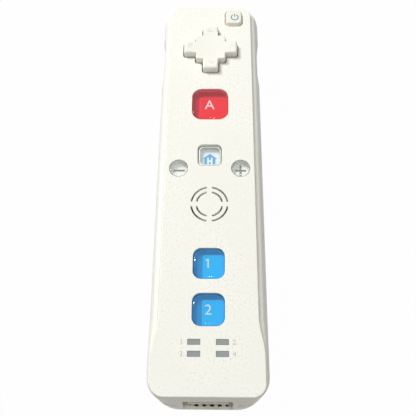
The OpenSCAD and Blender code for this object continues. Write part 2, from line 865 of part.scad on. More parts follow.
module nose_window() color(dark) {
    intersection() {
        window_form(0);
        block(-half_max, half_max, nose - shell_wall - window_thick, nose - 0.5, 0, face);
    }
    translate([0, nose - shell_wall - window_thick - window_back, window_z]) rotate([-90, 0, 0])
        linear_extrude(window_thick)
        polygon(rounded(window_width + 2 * window_lip, window_height + 2 * window_lip, window_corner));
}

// Buttons: a clear or coloured lens on a core with the flange and the stem
module lens(size, corner, gap, rise, dome) {
    w = size - 2 * gap;
    top = face + rise;
    dome_radius = (w * w / 4 + dome * dome) / (2 * dome);
    intersection() {
        slab(w, w, corner - gap, lens_low, top + over);
        translate([0, 0, top - dome_radius]) sphere(r = dome_radius, $fn = 96);
    }
}

module stem(travel) {
    rod(stem_radius, stem_low(travel), flange_low + small);
}

module core(size, corner, travel) {
    slab(size + 2 * flange_lip, size + 2 * flange_lip, corner + flange_lip, flange_low, flange_top);
    stem(travel);
}

module round_lens() {
    r = round_size / 2 - button_gap;
    top = face + round_rise;
    dome_radius = (r * r + 0.81) / 1.8;
    intersection() {
        rod(r, lens_low, top + over);
        translate([0, 0, top - dome_radius]) sphere(r = dome_radius, $fn = 96);
    }
}

module round_core() {
    rod(round_size / 2 + flange_lip, flange_low, flange_top);
    stem(small_travel);
}

module a_button() color(red, 0.8) translate([0, a_y, 0]) lens(a_size, a_corner, button_gap, a_rise, crown);
module a_core() color(red) translate([0, a_y, 0]) core(a_size, a_corner, a_travel);
module home_button() color(clear_grey, 0.8) translate([0, home_y, 0])
    lens(home_size, home_corner, home_gap, -home_depth, 0.4);
module home_core() color(clear_grey) translate([0, home_y, 0]) core(home_size, home_corner, small_travel);
module minus_button() color(clear_grey, 0.8) translate([-round_x, round_y, 0]) round_lens();
module minus_core() color(clear_grey) translate([-round_x, round_y, 0]) round_core();
module plus_button() color(clear_grey, 0.8) translate([round_x, round_y, 0]) round_lens();
module plus_core() color(clear_grey) translate([round_x, round_y, 0]) round_core();
module one_button() color(blue, 0.8) translate([0, one_y, 0])
    lens(number_size, number_corner, button_gap, number_rise, crown);
module one_core() color(blue) translate([0, one_y, 0]) core(number_size, number_corner, number_travel);
module two_button() color(blue, 0.8) translate([0, two_y, 0])
    lens(number_size, number_corner, button_gap, number_rise, crown);
module two_core() color(blue) translate([0, two_y, 0]) core(number_size, number_corner, number_travel);

module power_button() color(white) translate([power_x, power_y, 0]) {
    w = power_width - 2 * button_gap;
    h = power_length - 2 * button_gap;
    taper = 1.2;
    slab(w, h, power_corner - button_gap, flange_top - small, face);
    loft([face - small, face + power_rise], [rounded(w, h, power_corner - button_gap),
        rounded(w - taper, h - taper, power_corner - button_gap - 0.4)]);
    translate([0, -0.4, 0]) slab(w + 2 * flange_lip, h + 0.8, power_corner, flange_low, flange_top);
    stem(small_travel);
}

// Four-way pad on its pivot
pad_top = face + pad_rise;
pad_flange = 1;
pad_flange_radius = norm([pad_span / 2 + pad_gap, pad_arm / 2 + pad_gap]) + 0.5;
pad_flange_top = roof - pad_flange_radius * sin(pad_tilt * sqrt(2)) - 0.25;
pad_flange_low = pad_flange_top - pad_flange;
pivot_z = roof - 2;
pivot_radius = 2;
pivot_clearance = 0.1;
pad_dome_x = 7;
pad_travel = pad_dome_x * sin(pad_tilt * sqrt(2));

module dpad() color(white) translate([0, pad_y, 0]) difference() {
    union() {
        translate([0, 0, pad_flange_top - small])
            linear_extrude(pad_top - pad_flange_top + small) pad_outline(0);
        rod(pad_flange_radius, pad_flange_low, pad_flange_top);
        for (a = [0:90:270]) rotate(a) translate([pad_dome_x, 0, 0])
            rod(stem_radius, stem_low(pad_travel), pad_flange_low + small);
    }
    translate([0, 0, pad_top + pad_dish - 0.5]) sphere(r = pad_dish, $fn = 128);
    translate([0, 0, pivot_z]) sphere(r = pivot_radius + pivot_clearance);
}

module dpad_pivot() color(rubber_grey) translate([0, pad_y, pivot_z]) {
    sphere(r = pivot_radius);
    translate([0, 0, board_top + 0.2 - pivot_z]) cylinder(r = 1.3, h = pivot_z - board_top - 0.2);
}

// Rubber sheets with one dome for each switch
module dome(travel) {
    translate([0, 0, sheet_top - small]) cylinder(r1 = 2.5, r2 = 1.7, h = dome_height(travel) + small);
}

module upper_keypad() color(rubber_grey) {
    difference() {
        block(-sheet_half, sheet_half, pad_y - pad_flange_radius, board_far - small, board_top, sheet_top);
        at_nose_screws() rod(boss_radius + 0.3, 0, face);
        at_board_screws() rod(board_post + 0.3, 0, face);
        translate([0, pad_y, 0]) rod(1.8, 0, face);
        both_sides() block(sheet_half - 3, half_face, nose - nose_corner, nose, 0, face);
    }
    for (a = [0:90:270]) translate([0, pad_y, 0]) rotate(a) translate([pad_dome_x, 0, 0]) dome(pad_travel);
    translate([power_x, power_y, 0]) dome(small_travel);
}

module middle_keypad() color(rubber_grey) {
    block(-sheet_half, sheet_half, round_y - round_size / 2, a_y + a_size / 2 + flange_lip,
        board_top, sheet_top);
    translate([0, a_y, 0]) dome(a_travel);
    translate([0, home_y, 0]) dome(small_travel);
    for (s = [-1, 1]) translate([s * round_x, round_y, 0]) dome(small_travel);
}

module lower_keypad() color(rubber_grey) {
    block(-number_size, number_size, two_y - number_size / 2, one_y + number_size / 2,
        board_top, sheet_top);
    for (y = [one_y, two_y]) translate([0, y, 0]) dome(number_travel);
}

// Electronics
board_half = board_width / 2;
sheet_half = board_half - 1;
board_near = port_back + port_wall + 0.4;
board_far = nose - shell_wall - window_thick - window_back - 0.1;

module main_board() color(board_green) difference() {
    block(-board_half, board_half, board_near, board_far, board_low, board_top);
    at_nose_screws() rod(boss_radius + 0.3, 0, face);
    at_board_screws() rod(board_screw / 2 + hole_clearance, 0, face);
    both_sides() translate([board_half, board_far, 0]) rotate(45) block(-2, 2, -2, 2, 0, face);
}

chip_half = 4.5;
chip_thick = 1.4;
chip_gap = 3.5;
switch_half = 3;
radio_wide = 6;
radio_long = 9;
radio_high = 2.2;
radio_skin = 0.3;
radio_x = -board_half + 1.5;
can_radius = 1.6;
can_height = 3;
can_x = board_half - 4.5;
parts_y = motor_end - 0.6;

module processor_chip() color(dark) {
    chip_far = switch_y - switch_half - chip_gap;
    block(-0.5, 2 * chip_half - 0.5, chip_far - 2 * chip_half, chip_far,
        board_low - chip_thick, board_low);
}

module motion_sensor() color(dark) translate([speaker_radius - 4.6, speaker_y - speaker_radius - 5.9, 0])
    block(0, 4, 0, 4, board_top, board_top + 1.2);

module radio_can() color(steel) translate([radio_x, a_y - 1.25, 0]) difference() {
    block(0, radio_wide, 0, radio_long, board_low - radio_high, board_low);
    block(radio_skin, radio_wide - radio_skin, radio_skin, radio_long - radio_skin,
        board_low - radio_high + radio_skin, board_low + over);
}

module capacitors() color(dark) for (k = [0:2])
    translate([can_x, parts_y - 2 + k * 2.8 * can_radius, 0])
        rod(can_radius, board_low - can_height, board_low);

light_top = face - 0.15;
chip_height = 0.7;

module light_windows() color(clear_grey) for (s = [-1, 1]) for (t = [0, 1])
    translate([s * light_x, light_y - light_pitch * (t - 0.5), 0])
        block(-light_width / 2 + 0.06, light_width / 2 - 0.06,
            -light_length / 2 + 0.06, light_length / 2 - 0.06,
            board_top + chip_height + 0.2, light_top);

module light_chips() color(cream) for (s = [-1, 1]) for (t = [0, 1])
    translate([s * light_x, light_y - light_pitch * (t - 0.5), 0])
        block(-1, 1, -0.6, 0.6, board_top, board_top + chip_height);

speaker_top = roof - gasket;
basket_low = speaker_top - 3.2;

module speaker_basket() color(dark) translate([0, speaker_y, 0]) {
    difference() {
        rod(speaker_radius, basket_low, speaker_top);
        rod(speaker_radius - 0.8, basket_low + 0.6, speaker_top + over);
    }
    rod(5, basket_low - 0.9, basket_low + small);
}

module speaker_cone() color(rubber_grey) translate([0, speaker_y, 0]) {
    wide = speaker_radius - 0.85;
    difference() {
        translate([0, 0, basket_low + 0.65]) cylinder(r1 = 3, r2 = wide, h = 2.3);
        translate([0, 0, basket_low + 1.05]) cylinder(r1 = 3, r2 = wide, h = 2.3);
    }
}

module speaker_gasket() color(rubber_grey) translate([0, speaker_y, 0]) difference() {
    rod(speaker_radius, speaker_top, roof);
    rod(speaker_radius - 1.4, speaker_top - over, roof + over);
}

shaft_radius = 0.5;
weight_gap = 0.6;
weight_length = 4.4;

module rumble_motor() color(steel) translate([-motor_x, 0, motor_z]) difference() {
    union() {
        rod_y(motor_radius, motor_start, motor_end);
        rod_y(1.6, motor_end - small, motor_end + 0.4);
        rod_y(1.2, motor_start - 0.8, motor_start + small);
    }
    rod_y(shaft_radius + 0.05, motor_end - 4, motor_end + over);
}

module rumble_weight() color(steel) translate([-motor_x, 0, motor_z]) {
    start = motor_end + 0.4 + weight_gap;
    rod_y(shaft_radius, motor_end - 3.6, start + weight_length + 0.4);
    difference() {
        rod_y(weight_radius, start, start + weight_length);
        block(-weight_radius - over, weight_radius + over, start - over, start + weight_length + over,
            0.9, weight_radius + over);
    }
}

camera_z = window_z;
camera_front = nose - shell_wall - window_thick - window_back - 0.4;

module ir_camera() color(dark) translate([0, 0, camera_z]) {
    rod_y(2.2, camera_front - 3.4, camera_front);
    block(-3, 3, camera_front - 5.4, camera_front - 3.3, -3, 2.6);
}

module ir_holder() color(cream) difference() {
    block(-4.4, 4.4, camera_front - 6.6, camera_front - 0.8, camera_z - 3.9, board_low);
    block(-3.05, 3.05, camera_front - 5.45, camera_front - 3.2, camera_z - 3.05, camera_z + 2.65);
    translate([0, 0, camera_z]) rod_y(2.25, camera_front - 4, camera_front + over);
}

// Port housing: a box with a tongue, and ribs on its floor that reach into the mouth
port_front = near + end_lean + shell_wall - 0.3;
tongue_top = port_top - tongue_drop;
tongue_low = tongue_top - tongue_height;
contact_thick = 0.18;

module port_housing() color(cream) {
    shelf_gap = 0.1;
    shelf = 0.7;
    rib_width = 1.1;
    shelf_end = near + 0.9;
    difference() {
        block(-port_half - port_wall, port_half + port_wall, port_front, port_back + port_wall,
            port_floor - port_wall, port_top + port_wall);
        block(-port_half, port_half, port_front - over, port_back, port_floor, port_top);
        block(-tongue_width / 2, tongue_width / 2, port_back - over, port_back + 3,
            tongue_low - contact_thick - 0.05, tongue_low);
    }
    block(-tongue_width / 2, tongue_width / 2, near + tongue_inset, port_back + small,
        tongue_low, tongue_top);
    block(-port_half + 0.5, port_half - 0.5, shelf_end, port_front + 2,
        port_floor + shelf_gap, port_floor + shelf);
    block(-port_half + 0.5, port_half - 0.5, port_front + small, port_front + 2,
        port_floor - small, port_floor + shelf);
    for (k = [-2:2]) translate([k * rib_pitch, 0, 0])
        block(-rib_width / 2, rib_width / 2, shelf_end + 0.1, port_front + 3, port_floor + shelf - small,
            port_floor + shelf + rib_height);
}

module port_contacts() color(steel) for (k = [-2.5:2.5]) translate([k * 1.9, 0, 0])
    block(-0.55, 0.55, near + tongue_inset + 0.8, board_near + 0.3, tongue_low - contact_thick, tongue_low);

module strap_bars() color(steel) both_sides() translate([strap_x, strap_bar_y, 0])
    rod(strap_bar, strap_floor - 2.3, strap_floor + strap_height + 1);

module sync_button() color(red) translate([sync_x, sync_y, 0])
    rod(sync_radius, sync_low, sync_switch_low - sync_travel - small);

module sync_switch() color(dark) translate([sync_x, sync_y, 0]) {
    block(-sync_guide, sync_guide, bay_wall - sync_guide, sync_guide - bay_wall,
        sync_switch_low + 0.8, board_low);
    rod(1.4, sync_switch_low, sync_switch_low + 0.9);
}

// Cells lie in opposite directions
module cell(flip) {
    nub = 1.2;
    start = flip > 0 ? bay_near + contact_room : bay_far - contact_room;
    translate([0, start, cell_z]) rotate([-90 * flip, 0, 0]) {
        cylinder(r = cell_radius, h = cell_length);
        translate([0, 0, cell_length - small]) cylinder(r = 2.75, h = nub + small);
    }
}

module battery_left() color(dark) translate([-cell_x, 0, 0]) cell(1);
module battery_right() color(dark) translate([cell_x, 0, 0]) cell(-1);

// Coil of round wire along +Z that narrows from r0 to r1
module coil(r0, r1, height, wire, turns) {
    sides = 6;
    per_turn = 12;
    steps = turns * per_turn;
    points = [for (i = [0:steps]) let (t = i / steps, a = 360 * turns * t, r = r0 + (r1 - r0) * t)
        for (k = [0:sides - 1]) let (b = 360 * k / sides, q = r + wire * cos(b))
            [q * cos(a), q * sin(a), wire + (height - 2 * wire) * t + wire * sin(b)]];
    walls = [for (i = [0:steps - 1]) for (k = [0:sides - 1])
        let (j = (k + 1) % sides, a = i * sides, b = a + sides)
            each [[a + k, a + j, b + j], [a + k, b + j, b + k]]];
    ends = [[for (k = [sides - 1:-1:0]) k], [for (k = [0:sides - 1]) steps * sides + k]];
    polyhedron(points, concat(walls, ends));
}

module battery_springs() color(steel) {
    translate([-cell_x, bay_near, cell_z]) rotate([-90, 0, 0]) coil(4.6, 2.6, contact_room, 0.3, 3);
    translate([cell_x, bay_far, cell_z]) rotate([90, 0, 0]) coil(4.6, 2.6, contact_room, 0.3, 3);
}

module battery_plates() color(steel) {
    plate = 0.4;
    plate_half = 4;
    translate([cell_x, 0, cell_z]) {
        block(-plate_half, plate_half, bay_near, bay_near + plate, -plate_half, plate_half);
        rod_y(1.8, bay_near + plate - small, bay_near + contact_room - 1.25);
    }
    translate([-cell_x, 0, cell_z]) {
        block(-plate_half, plate_half, bay_far - plate, bay_far, -plate_half, plate_half);
        rod_y(1.8, bay_far - contact_room + 1.25, bay_far - plate + small);
    }
}

// Trigger: a blade with a hooked lip, hung on its pin
module trigger() color(white) {
    back = trigger_back;
    blade_z = scoop_height - 1.4;
    thick = 2.1;
    lip_y = pin_y + 0.6;
    difference() {
        union() {
            across(-trigger_half, trigger_half, concat(
                [[back, blade_z + thick], [back, blade_z + 0.9], [back + 0.8, blade_z]],
                [for (k = [0:8]) let (t = k / 8) [back + 12 + (lip_y - 1.4 - back - 12) * t,
                    blade_z - (blade_z - trigger_lip) * ease(t * 1.02)]],
                [[lip_y, trigger_lip - 0.1], [lip_y + 1.2, trigger_lip + 0.7],
                    [pin_y + 2.4, scoop_height - 1],
                    [pin_y + hub_radius - 0.1, pin_z], [pin_y, pin_z + 1], [pin_y - hub_radius, pin_z],
                    [pin_y - 4, blade_z + thick + 1.2], [pin_y - 7, blade_z + thick]]
            ));
            translate([0, pin_y, pin_z]) rod_x(hub_radius, -trigger_half, trigger_half);
            block(-2, 2, switch_y - 1.2, switch_y + 1.2, blade_z + thick - small, plunger_top);
            translate([spring_x, spring_y, 0]) rod(1.2, blade_z + thick - small, blade_z + thick + 1.4);
        }
        translate([0, pin_y, pin_z])
            rod_x(pin_radius + pin_clearance, -trigger_half - over, trigger_half + over);
    }
}

switch_y = pin_y - 19;
spring_x = 5;
spring_y = pin_y - 13;
switch_low = board_low - 4.2;
plunger_top = switch_low - 2.6;

module trigger_pin() color(steel) translate([0, pin_y, pin_z]) rod_x(pin_radius, -ear_out, ear_out);

module trigger_spring() color(steel) translate([spring_x, spring_y, scoop_height + 0.75])
    coil(1.9, 1.9, board_low - scoop_height - 0.8, 0.25, 6);

module trigger_switch() color(dark) translate([0, switch_y, 0]) {
    block(-switch_half, switch_half, -switch_half, switch_half, switch_low + 0.8, board_low);
    rod(1.6, switch_low, switch_low + 0.9);
}

module shell_screws() color(steel) {
    at_end_screws() {
        rod(screw_head / 2, end_head_z, end_head_z + head_height);
        rod(screw_size / 2, end_head_z + head_height - small, boss_low + screw_bite - 0.6);
    }
    at_nose_screws() {
        rod(screw_head / 2, nose_head_z, nose_head_z + head_height);
        rod(screw_size / 2, nose_head_z + head_height - small, boss_low + screw_bite - 0.6);
    }
}

module board_screws() color(steel) at_board_screws() {
    rod(board_screw, board_low - 1, board_low);
    rod(board_screw / 2, board_low - small, board_top + 3);
}

front_shell();
rear_shell();
battery_door();
nose_window();
dpad();
dpad_pivot();
power_button();
a_button();
a_core();
home_button();
home_core();
minus_button();
minus_core();
plus_button();
plus_core();
one_button();
one_core();
two_button();
two_core();
trigger();
trigger_pin();
trigger_spring();
trigger_switch();
upper_keypad();
middle_keypad();
lower_keypad();
main_board();
processor_chip();
motion_sensor();
radio_can();
capacitors();
light_windows();
light_chips();
speaker_basket();
speaker_cone();
speaker_gasket();
rumble_motor();
rumble_weight();
ir_camera();
ir_holder();
port_housing();
port_contacts();
strap_bars();
sync_button();
sync_switch();
battery_left();
battery_right();
battery_springs();
battery_plates();
shell_screws();
board_screws();
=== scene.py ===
import math

import bpy
import numpy as np
from mathutils import Matrix, Vector


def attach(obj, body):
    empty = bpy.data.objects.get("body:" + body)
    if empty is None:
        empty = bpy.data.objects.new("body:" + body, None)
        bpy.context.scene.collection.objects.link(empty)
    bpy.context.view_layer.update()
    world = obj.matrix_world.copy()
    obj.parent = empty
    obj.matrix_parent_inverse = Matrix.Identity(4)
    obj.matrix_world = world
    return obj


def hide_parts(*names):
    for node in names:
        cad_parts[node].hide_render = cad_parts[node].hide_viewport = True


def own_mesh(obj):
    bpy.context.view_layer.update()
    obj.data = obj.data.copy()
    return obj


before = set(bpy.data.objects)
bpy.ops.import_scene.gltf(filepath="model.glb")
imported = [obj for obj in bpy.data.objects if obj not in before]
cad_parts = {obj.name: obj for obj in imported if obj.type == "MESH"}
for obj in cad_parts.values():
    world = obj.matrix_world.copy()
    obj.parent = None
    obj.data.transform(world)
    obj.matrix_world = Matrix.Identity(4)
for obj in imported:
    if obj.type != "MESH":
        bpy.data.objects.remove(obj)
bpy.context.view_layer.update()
print("frame loaded")

# The wand lies on its back: X across, Y towards the nose, Z out of the face. Measures are in millimetres.
body = {
    "near": -75.0, "nose": 75.0, "halfMax": 18.8, "halfFace": 15.5, "halfFoot": 15.9,
    "face": 28.0, "foot": 26.6, "roof": 26.0, "widest": 20.0, "parting": 13.0, "wall": 2.0,
    "faceCorner": 4.0, "endCorner": 10.0, "noseCorner": 7.0, "endLean": 2.8,
    "noseLean": 0.5, "noseSharper": 3.0, "endPower": 1.6, "cornerPower": 2.2,
    "spread": 1.7, "flareStart": -48.5, "flareLength": 12.0,
    "scoop": 0.8, "scoopBack": 40.5, "scoopFront": 61.5, "scoopRamp": 5.0, "scoopStep": 1.6,
}


# camera and room

photo = {
    "focal": 45.196, "sensor": 36.0,
    "eye": (2.418, -81.501, 188.226),
    "right": (0.99986084, 0.00929202, -0.01385477),
    "up": (-0.00306802, 0.91876918, 0.3947832),
    "view": (-0.01639767, 0.39468576, -0.91866984),
}


def deselect():
    if bpy.context.object and bpy.context.object.mode != "OBJECT":
        bpy.ops.object.mode_set(mode="OBJECT")
    bpy.ops.object.select_all(action="DESELECT")


def placeCamera():
    deselect()
    bpy.ops.object.camera_add()
    cam = bpy.context.object
    cam.name = "photoCamera"
    cam.data.lens = photo["focal"]
    cam.data.sensor_width = photo["sensor"]
    cam.data.sensor_fit = "HORIZONTAL"
    cam.data.clip_start = 0.01
    turn = Matrix((photo["right"], photo["up"], tuple(-v for v in photo["view"]))).transposed()
    cam.matrix_world = Matrix.Translation(Vector(photo["eye"]) / 1000) @ turn.to_4x4()
    bpy.context.scene.camera = cam


placeCamera()


# one function adds a node with its settings and links

def addNode(tree, kind, settings=None, links=None, **attributes):
    n = tree.nodes.new("ShaderNode" + kind)
    for key, value in attributes.items():
        setattr(n, key, value)
    for key, value in (settings or {}).items():
        n.inputs[key].default_value = value
    for key, socket in (links or {}).items():
        tree.links.new(socket, n.inputs[key])
    return n


def linear(code, alpha=1.0):
    parts = [int(code[k:k + 2], 16) / 255 for k in (0, 2, 4)]
    return tuple(c / 12.92 if c <= 0.04045 else ((c + 0.055) / 1.055) ** 2.4 for c in parts) + (alpha,)


def newMaterial(name):
    material = bpy.data.materials.new(name)
    material.use_nodes = True
    tree = material.node_tree
    tree.nodes.clear()
    return material, tree, addNode(tree, "OutputMaterial")


# soft light in a white room, places and sizes in metres, powers in watts
room = {
    "ambient": 0.3, "skyTone": "F6F6F4",
    "floorGlow": 0.985, "floorTone": "A6A298", "floorSize": 6.0, "floorHeight": -0.00005,
    "aim": (0, 0, 0.02),
    "keyPlace": (-0.46, 0.48, 0.72), "keySize": 0.22, "keyPower": 6.6,
    "topPlace": (0.05, -0.05, 0.8), "topSize": 0.5, "topPower": 1.8,
    "leftPlace": (-0.55, 0.2, 0.16), "leftSize": (0.06, 0.2), "leftPower": 1.6,
    "nearPlace": (0.0, -0.62, 0.52), "nearSize": (0.16, 0.05), "nearPower": 1.0,
}


# 1 for a ray that comes straight from the camera, through a lens or off a gloss: it sees a white room
def directRay(tree):
    path = addNode(tree, "LightPath")
    sharp = addNode(tree, "Math", {}, {0: path.outputs["Is Camera Ray"], 1: path.outputs["Is Transmission Ray"]},
                    operation="ADD")
    direct = addNode(tree, "Math", {}, {0: sharp.outputs[0], 1: path.outputs["Is Glossy Ray"]},
                     operation="ADD", use_clamp=True)
    return direct.outputs[0]


def buildRoom():
    deselect()
    bpy.ops.mesh.primitive_plane_add(size=room["floorSize"], location=(0, 0, room["floorHeight"]))
    floor = bpy.context.object
    floor.name = "floor"
    material, tree, out = newMaterial("paleFloor")
    shade = addNode(tree, "BsdfDiffuse", {"Color": linear(room["floorTone"])})
    white = addNode(tree, "Emission", {"Color": (1, 1, 1, 1), "Strength": 1.0})
    mixed = addNode(tree, "MixShader", {0: room["floorGlow"]}, {1: shade.outputs[0], 2: white.outputs[0]})
    seen = addNode(tree, "MixShader", {}, {0: directRay(tree), 1: shade.outputs[0], 2: mixed.outputs[0]})
    below = addNode(tree, "NewGeometry")  # the floor is clear from below, so that the underside can be seen
    clear = addNode(tree, "BsdfTransparent")
    oneSided = addNode(tree, "MixShader", {},
                       {0: below.outputs["Backfacing"], 1: seen.outputs[0], 2: clear.outputs[0]})
    tree.links.new(oneSided.outputs[0], out.inputs["Surface"])
    floor.data.materials.append(material)
    world = bpy.data.worlds.new("room")
    bpy.context.scene.world = world
    world.use_nodes = True
    tree = world.node_tree
    tree.nodes.clear()
    out = addNode(tree, "OutputWorld")
    sky = addNode(tree, "Background", {"Color": linear(room["skyTone"]), "Strength": room["ambient"]})
    white = addNode(tree, "Background", {"Color": (1, 1, 1, 1), "Strength": 1.0})
    seen = addNode(tree, "MixShader", {}, {0: directRay(tree), 1: sky.outputs[0], 2: white.outputs[0]})
    tree.links.new(seen.outputs[0], out.inputs["Surface"])


# a glossy lamp shows in reflections only, the others light surfaces only
def addLamp(name, place, width, height, power, glossy=False):
    bpy.ops.object.light_add(type="AREA", location=place)
    lamp = bpy.context.object
    lamp.name = name
    lamp.data.shape = "RECTANGLE"
    lamp.data.size = width
    lamp.data.size_y = height
    lamp.data.energy = power
    aim = Vector(room["aim"]) - Vector(place)
    lamp.rotation_euler = aim.to_track_quat("-Z", "Y").to_euler()
    lamp.visible_glossy = glossy
    lamp.visible_diffuse = not glossy
    return lamp


buildRoom()
addLamp("keyLamp", room["keyPlace"], room["keySize"], room["keySize"], room["keyPower"])
addLamp("topSoftbox", room["topPlace"], room["topSize"], room["topSize"], room["topPower"])
addLamp("leftStrip", room["leftPlace"], *room["leftSize"], room["leftPower"], glossy=True)
addLamp("nearStrip", room["nearPlace"], *room["nearSize"], room["nearPower"], glossy=True)
bpy.context.scene.view_settings.view_transform = "Standard"
print("camera and room ready")


# materials

# The tone drifts over about 18 mm, as the melt cools. Real grain is near 0.05 mm and real specks near 0.1 mm;
# both are drawn coarser, at grainMm and 0.7 mm, because they wouldn't show in the render.
plasticLook = {"driftMm": 18, "speckMm": 0.7, "speckTone": "8E929A", "glossSwing": 0.06, "ior": 1.5}


def mouldedPlastic(name, colour, dark, roughness, grainMm=0.35, bump=0.02, speck=0.0, coat=0.0):
    material, tree, out = newMaterial(name)
    where = addNode(tree, "TexCoord").outputs["Object"]
    drift = addNode(tree, "TexNoise", {"Scale": 1000 / plasticLook["driftMm"], "Detail": 3.0}, {"Vector": where})
    grain = addNode(tree, "TexNoise", {"Scale": 1000 / grainMm, "Detail": 2.0}, {"Vector": where})
    tone = addNode(tree, "MapRange", {"From Min": 0.3, "From Max": 0.7}, {"Value": drift.outputs["Fac"]})
    base = addNode(tree, "MixRGB", {"Color1": linear(dark), "Color2": linear(colour)}, {"Fac": tone.outputs[0]})
    colourOut = base.outputs[0]
    if speck:
        dots = addNode(tree, "TexNoise", {"Scale": 1000 / plasticLook["speckMm"], "Detail": 2.0}, {"Vector": where})
        mask = addNode(tree, "MapRange", {"From Min": 0.5, "From Max": 0.72, "To Max": speck},
                       {"Value": dots.outputs["Fac"]})
        patchy = addNode(tree, "Math", {}, {0: mask.outputs[0], 1: tone.outputs[0]}, operation="MULTIPLY")
        spotted = addNode(tree, "MixRGB", {"Color2": linear(plasticLook["speckTone"])},
                          {"Fac": patchy.outputs[0], "Color1": colourOut})
        colourOut = spotted.outputs[0]
    swing = plasticLook["glossSwing"]
    rough = addNode(tree, "MapRange", {"To Min": roughness - swing, "To Max": roughness + swing},
                    {"Value": grain.outputs["Fac"]})
    height = addNode(tree, "Bump", {"Distance": bump / 1000, "Strength": 0.5}, {"Height": grain.outputs["Fac"]})
    shader = addNode(tree, "BsdfPrincipled", {"IOR": plasticLook["ior"], "Coat Weight": coat},
                     {"Base Color": colourOut, "Roughness": rough.outputs[0], "Normal": height.outputs[0]})
    tree.links.new(shader.outputs[0], out.inputs["Surface"])
    return material


# measures used by many pieces, in millimetres as in the part's source

pad = {
    "y": 53.025, "span": 20.2, "arm": 5.8, "block": 11.2, "gap": 0.42, "top": 30.5,
    "skirt": 11.53, "skirtTop": 24.84,
    "edge": 0.9, "spare": 0.05, "dish": 70, "dishDepth": 0.5, "arrowLine": 0.28, "arrowDepth": 0.12,
}
squares = {
    "a": {"y": 28.75, "size": 13.2, "corner": 3.6, "gap": 0.15, "top": 29.6, "crown": 1.2, "edge": 0.75},
    "home": {"y": 7.45, "size": 8.5, "corner": 1.9, "gap": 0.3, "top": 27.8, "crown": 0.3, "edge": 0.75},
    "one": {"y": -31.85, "size": 10.25, "corner": 2.7, "gap": 0.15, "top": 29.3, "crown": 1.2, "edge": 0.65},
    "two": {"y": -46.65, "size": 10.25, "corner": 2.7, "gap": 0.15, "top": 29.3, "crown": 1.2, "edge": 0.65},
}
rounds = {"x": 10.72, "y": 2.35, "radius": 3.25, "gap": 0.15, "top": 28.9, "crown": 0.9, "edge": 0.4}
power = {"x": 9.0, "y": 68.9, "width": 6.9, "length": 7.5, "corner": 1.8, "gap": 0.15, "top": 29.0, "rim": 0.55}
lights = {"x": 4.32, "y": -58.26, "pitch": 3.51, "width": 3.93, "length": 1.75}
speaker = {"y": -11.15, "outer": 12.84, "inner": 9.32, "slot": 0.6, "cross": 1.6}
port = {"half": 7.55, "floor": 14.5, "top": 24.0, "corner": 0.8, "back": -62.8}
strap = {"x": 11.4, "width": 4.2, "floor": 17.8, "height": 3.4, "corner": 0.35}
window = {"width": 19.0, "height": 9.4, "z": 16.0, "corner": 2.0, "gap": 0.1}
coreTop = 25.7
lensBottom = 25.9


# shape of the body, the same formulas as the part's source

def ease(t):
    c = np.clip(t, 0, 1)
    return c * c * (3 - 2 * c)


# quarter ellipse, for the bulge of the sides
def bow(t):
    return math.sqrt(max(0.0, 1 - t * t))


# share of the height between the shell joint and the face
def above(z):
    return max(0.0, (z - body["parting"]) / (body["face"] - body["parting"]))


def halfWidth(z):
    if z >= body["foot"]:
        lean = body["halfFoot"] - body["halfFace"]
        return body["halfFace"] + lean * (body["face"] - z) / (body["face"] - body["foot"])
    if z > body["widest"]:
        rise = (z - body["widest"]) / (body["foot"] - body["widest"])
        return body["halfFoot"] + (body["halfMax"] - body["halfFoot"]) * bow(rise)
    return body["halfMax"]


def sideAt(y, z, inset):
    across = body["halfMax"] - halfWidth(z)
    spread = body["spread"] * max(0.0, across / (body["halfMax"] - body["halfFace"])) * (z > body["widest"])
    fade = 1.0
    if z > body["widest"]:
        fade = 1 - float(ease((z - body["widest"]) / (body["foot"] - body["widest"])))
    y = np.asarray(y, float)
    flare = spread * ease((body["flareStart"] - y) / body["flareLength"])
    dip = np.minimum(ease((y - body["scoopBack"]) / body["scoopRamp"]),
                     ease((body["scoopFront"] - y) / body["scoopStep"]))
    return halfWidth(z) - inset + flare - body["scoop"] * fade * dip


# rows along a side, close together where it flares and at both ends of the scoop
sideRows = np.concatenate((
    np.linspace(-64.5, -46, 22), np.linspace(-42, 38, 14), np.linspace(40, 46, 14),
    np.linspace(48, 58, 5), np.linspace(59.2, 62, 17), np.linspace(63.5, 66.5, 3),
))
cornerSteps = 19
leastCorner = 0.6


# the outline of the body at a height, every one with the same count of points
def outline(z, inset=0.0):
    up = above(z)
    near = body["near"] + body["endLean"] * up ** body["endPower"] + inset
    far = body["nose"] - body["noseLean"] * up ** body["endPower"] - inset
    rounder = (body["endCorner"] - body["faceCorner"]) * (1 - up ** body["cornerPower"])
    nearR = max(body["faceCorner"] + rounder - inset, leastCorner)
    farR = max(body["noseCorner"] - body["noseSharper"] * up ** 2 - inset, leastCorner)
    nx = float(sideAt(near + nearR, z, inset)) - nearR
    fx = float(sideAt(far - farR, z, inset)) - farR
    a = np.radians(np.linspace(-90, 0, cornerSteps))
    start = np.column_stack((nx + nearR * np.cos(a), near + nearR + nearR * np.sin(a)))
    middle = np.column_stack((sideAt(sideRows, z, inset), sideRows))
    a = np.radians(np.linspace(0, 90, cornerSteps))
    end = np.column_stack((fx + farR * np.cos(a), far - farR + farR * np.sin(a)))
    right = np.vstack((start, middle, end))
    left = right[::-1] * (-1, 1)
    return np.vstack((right, left))


# modelling helpers

def activate(*objs):
    deselect()
    for o in objs:
        o.select_set(True)
    bpy.context.view_layer.objects.active = objs[0]


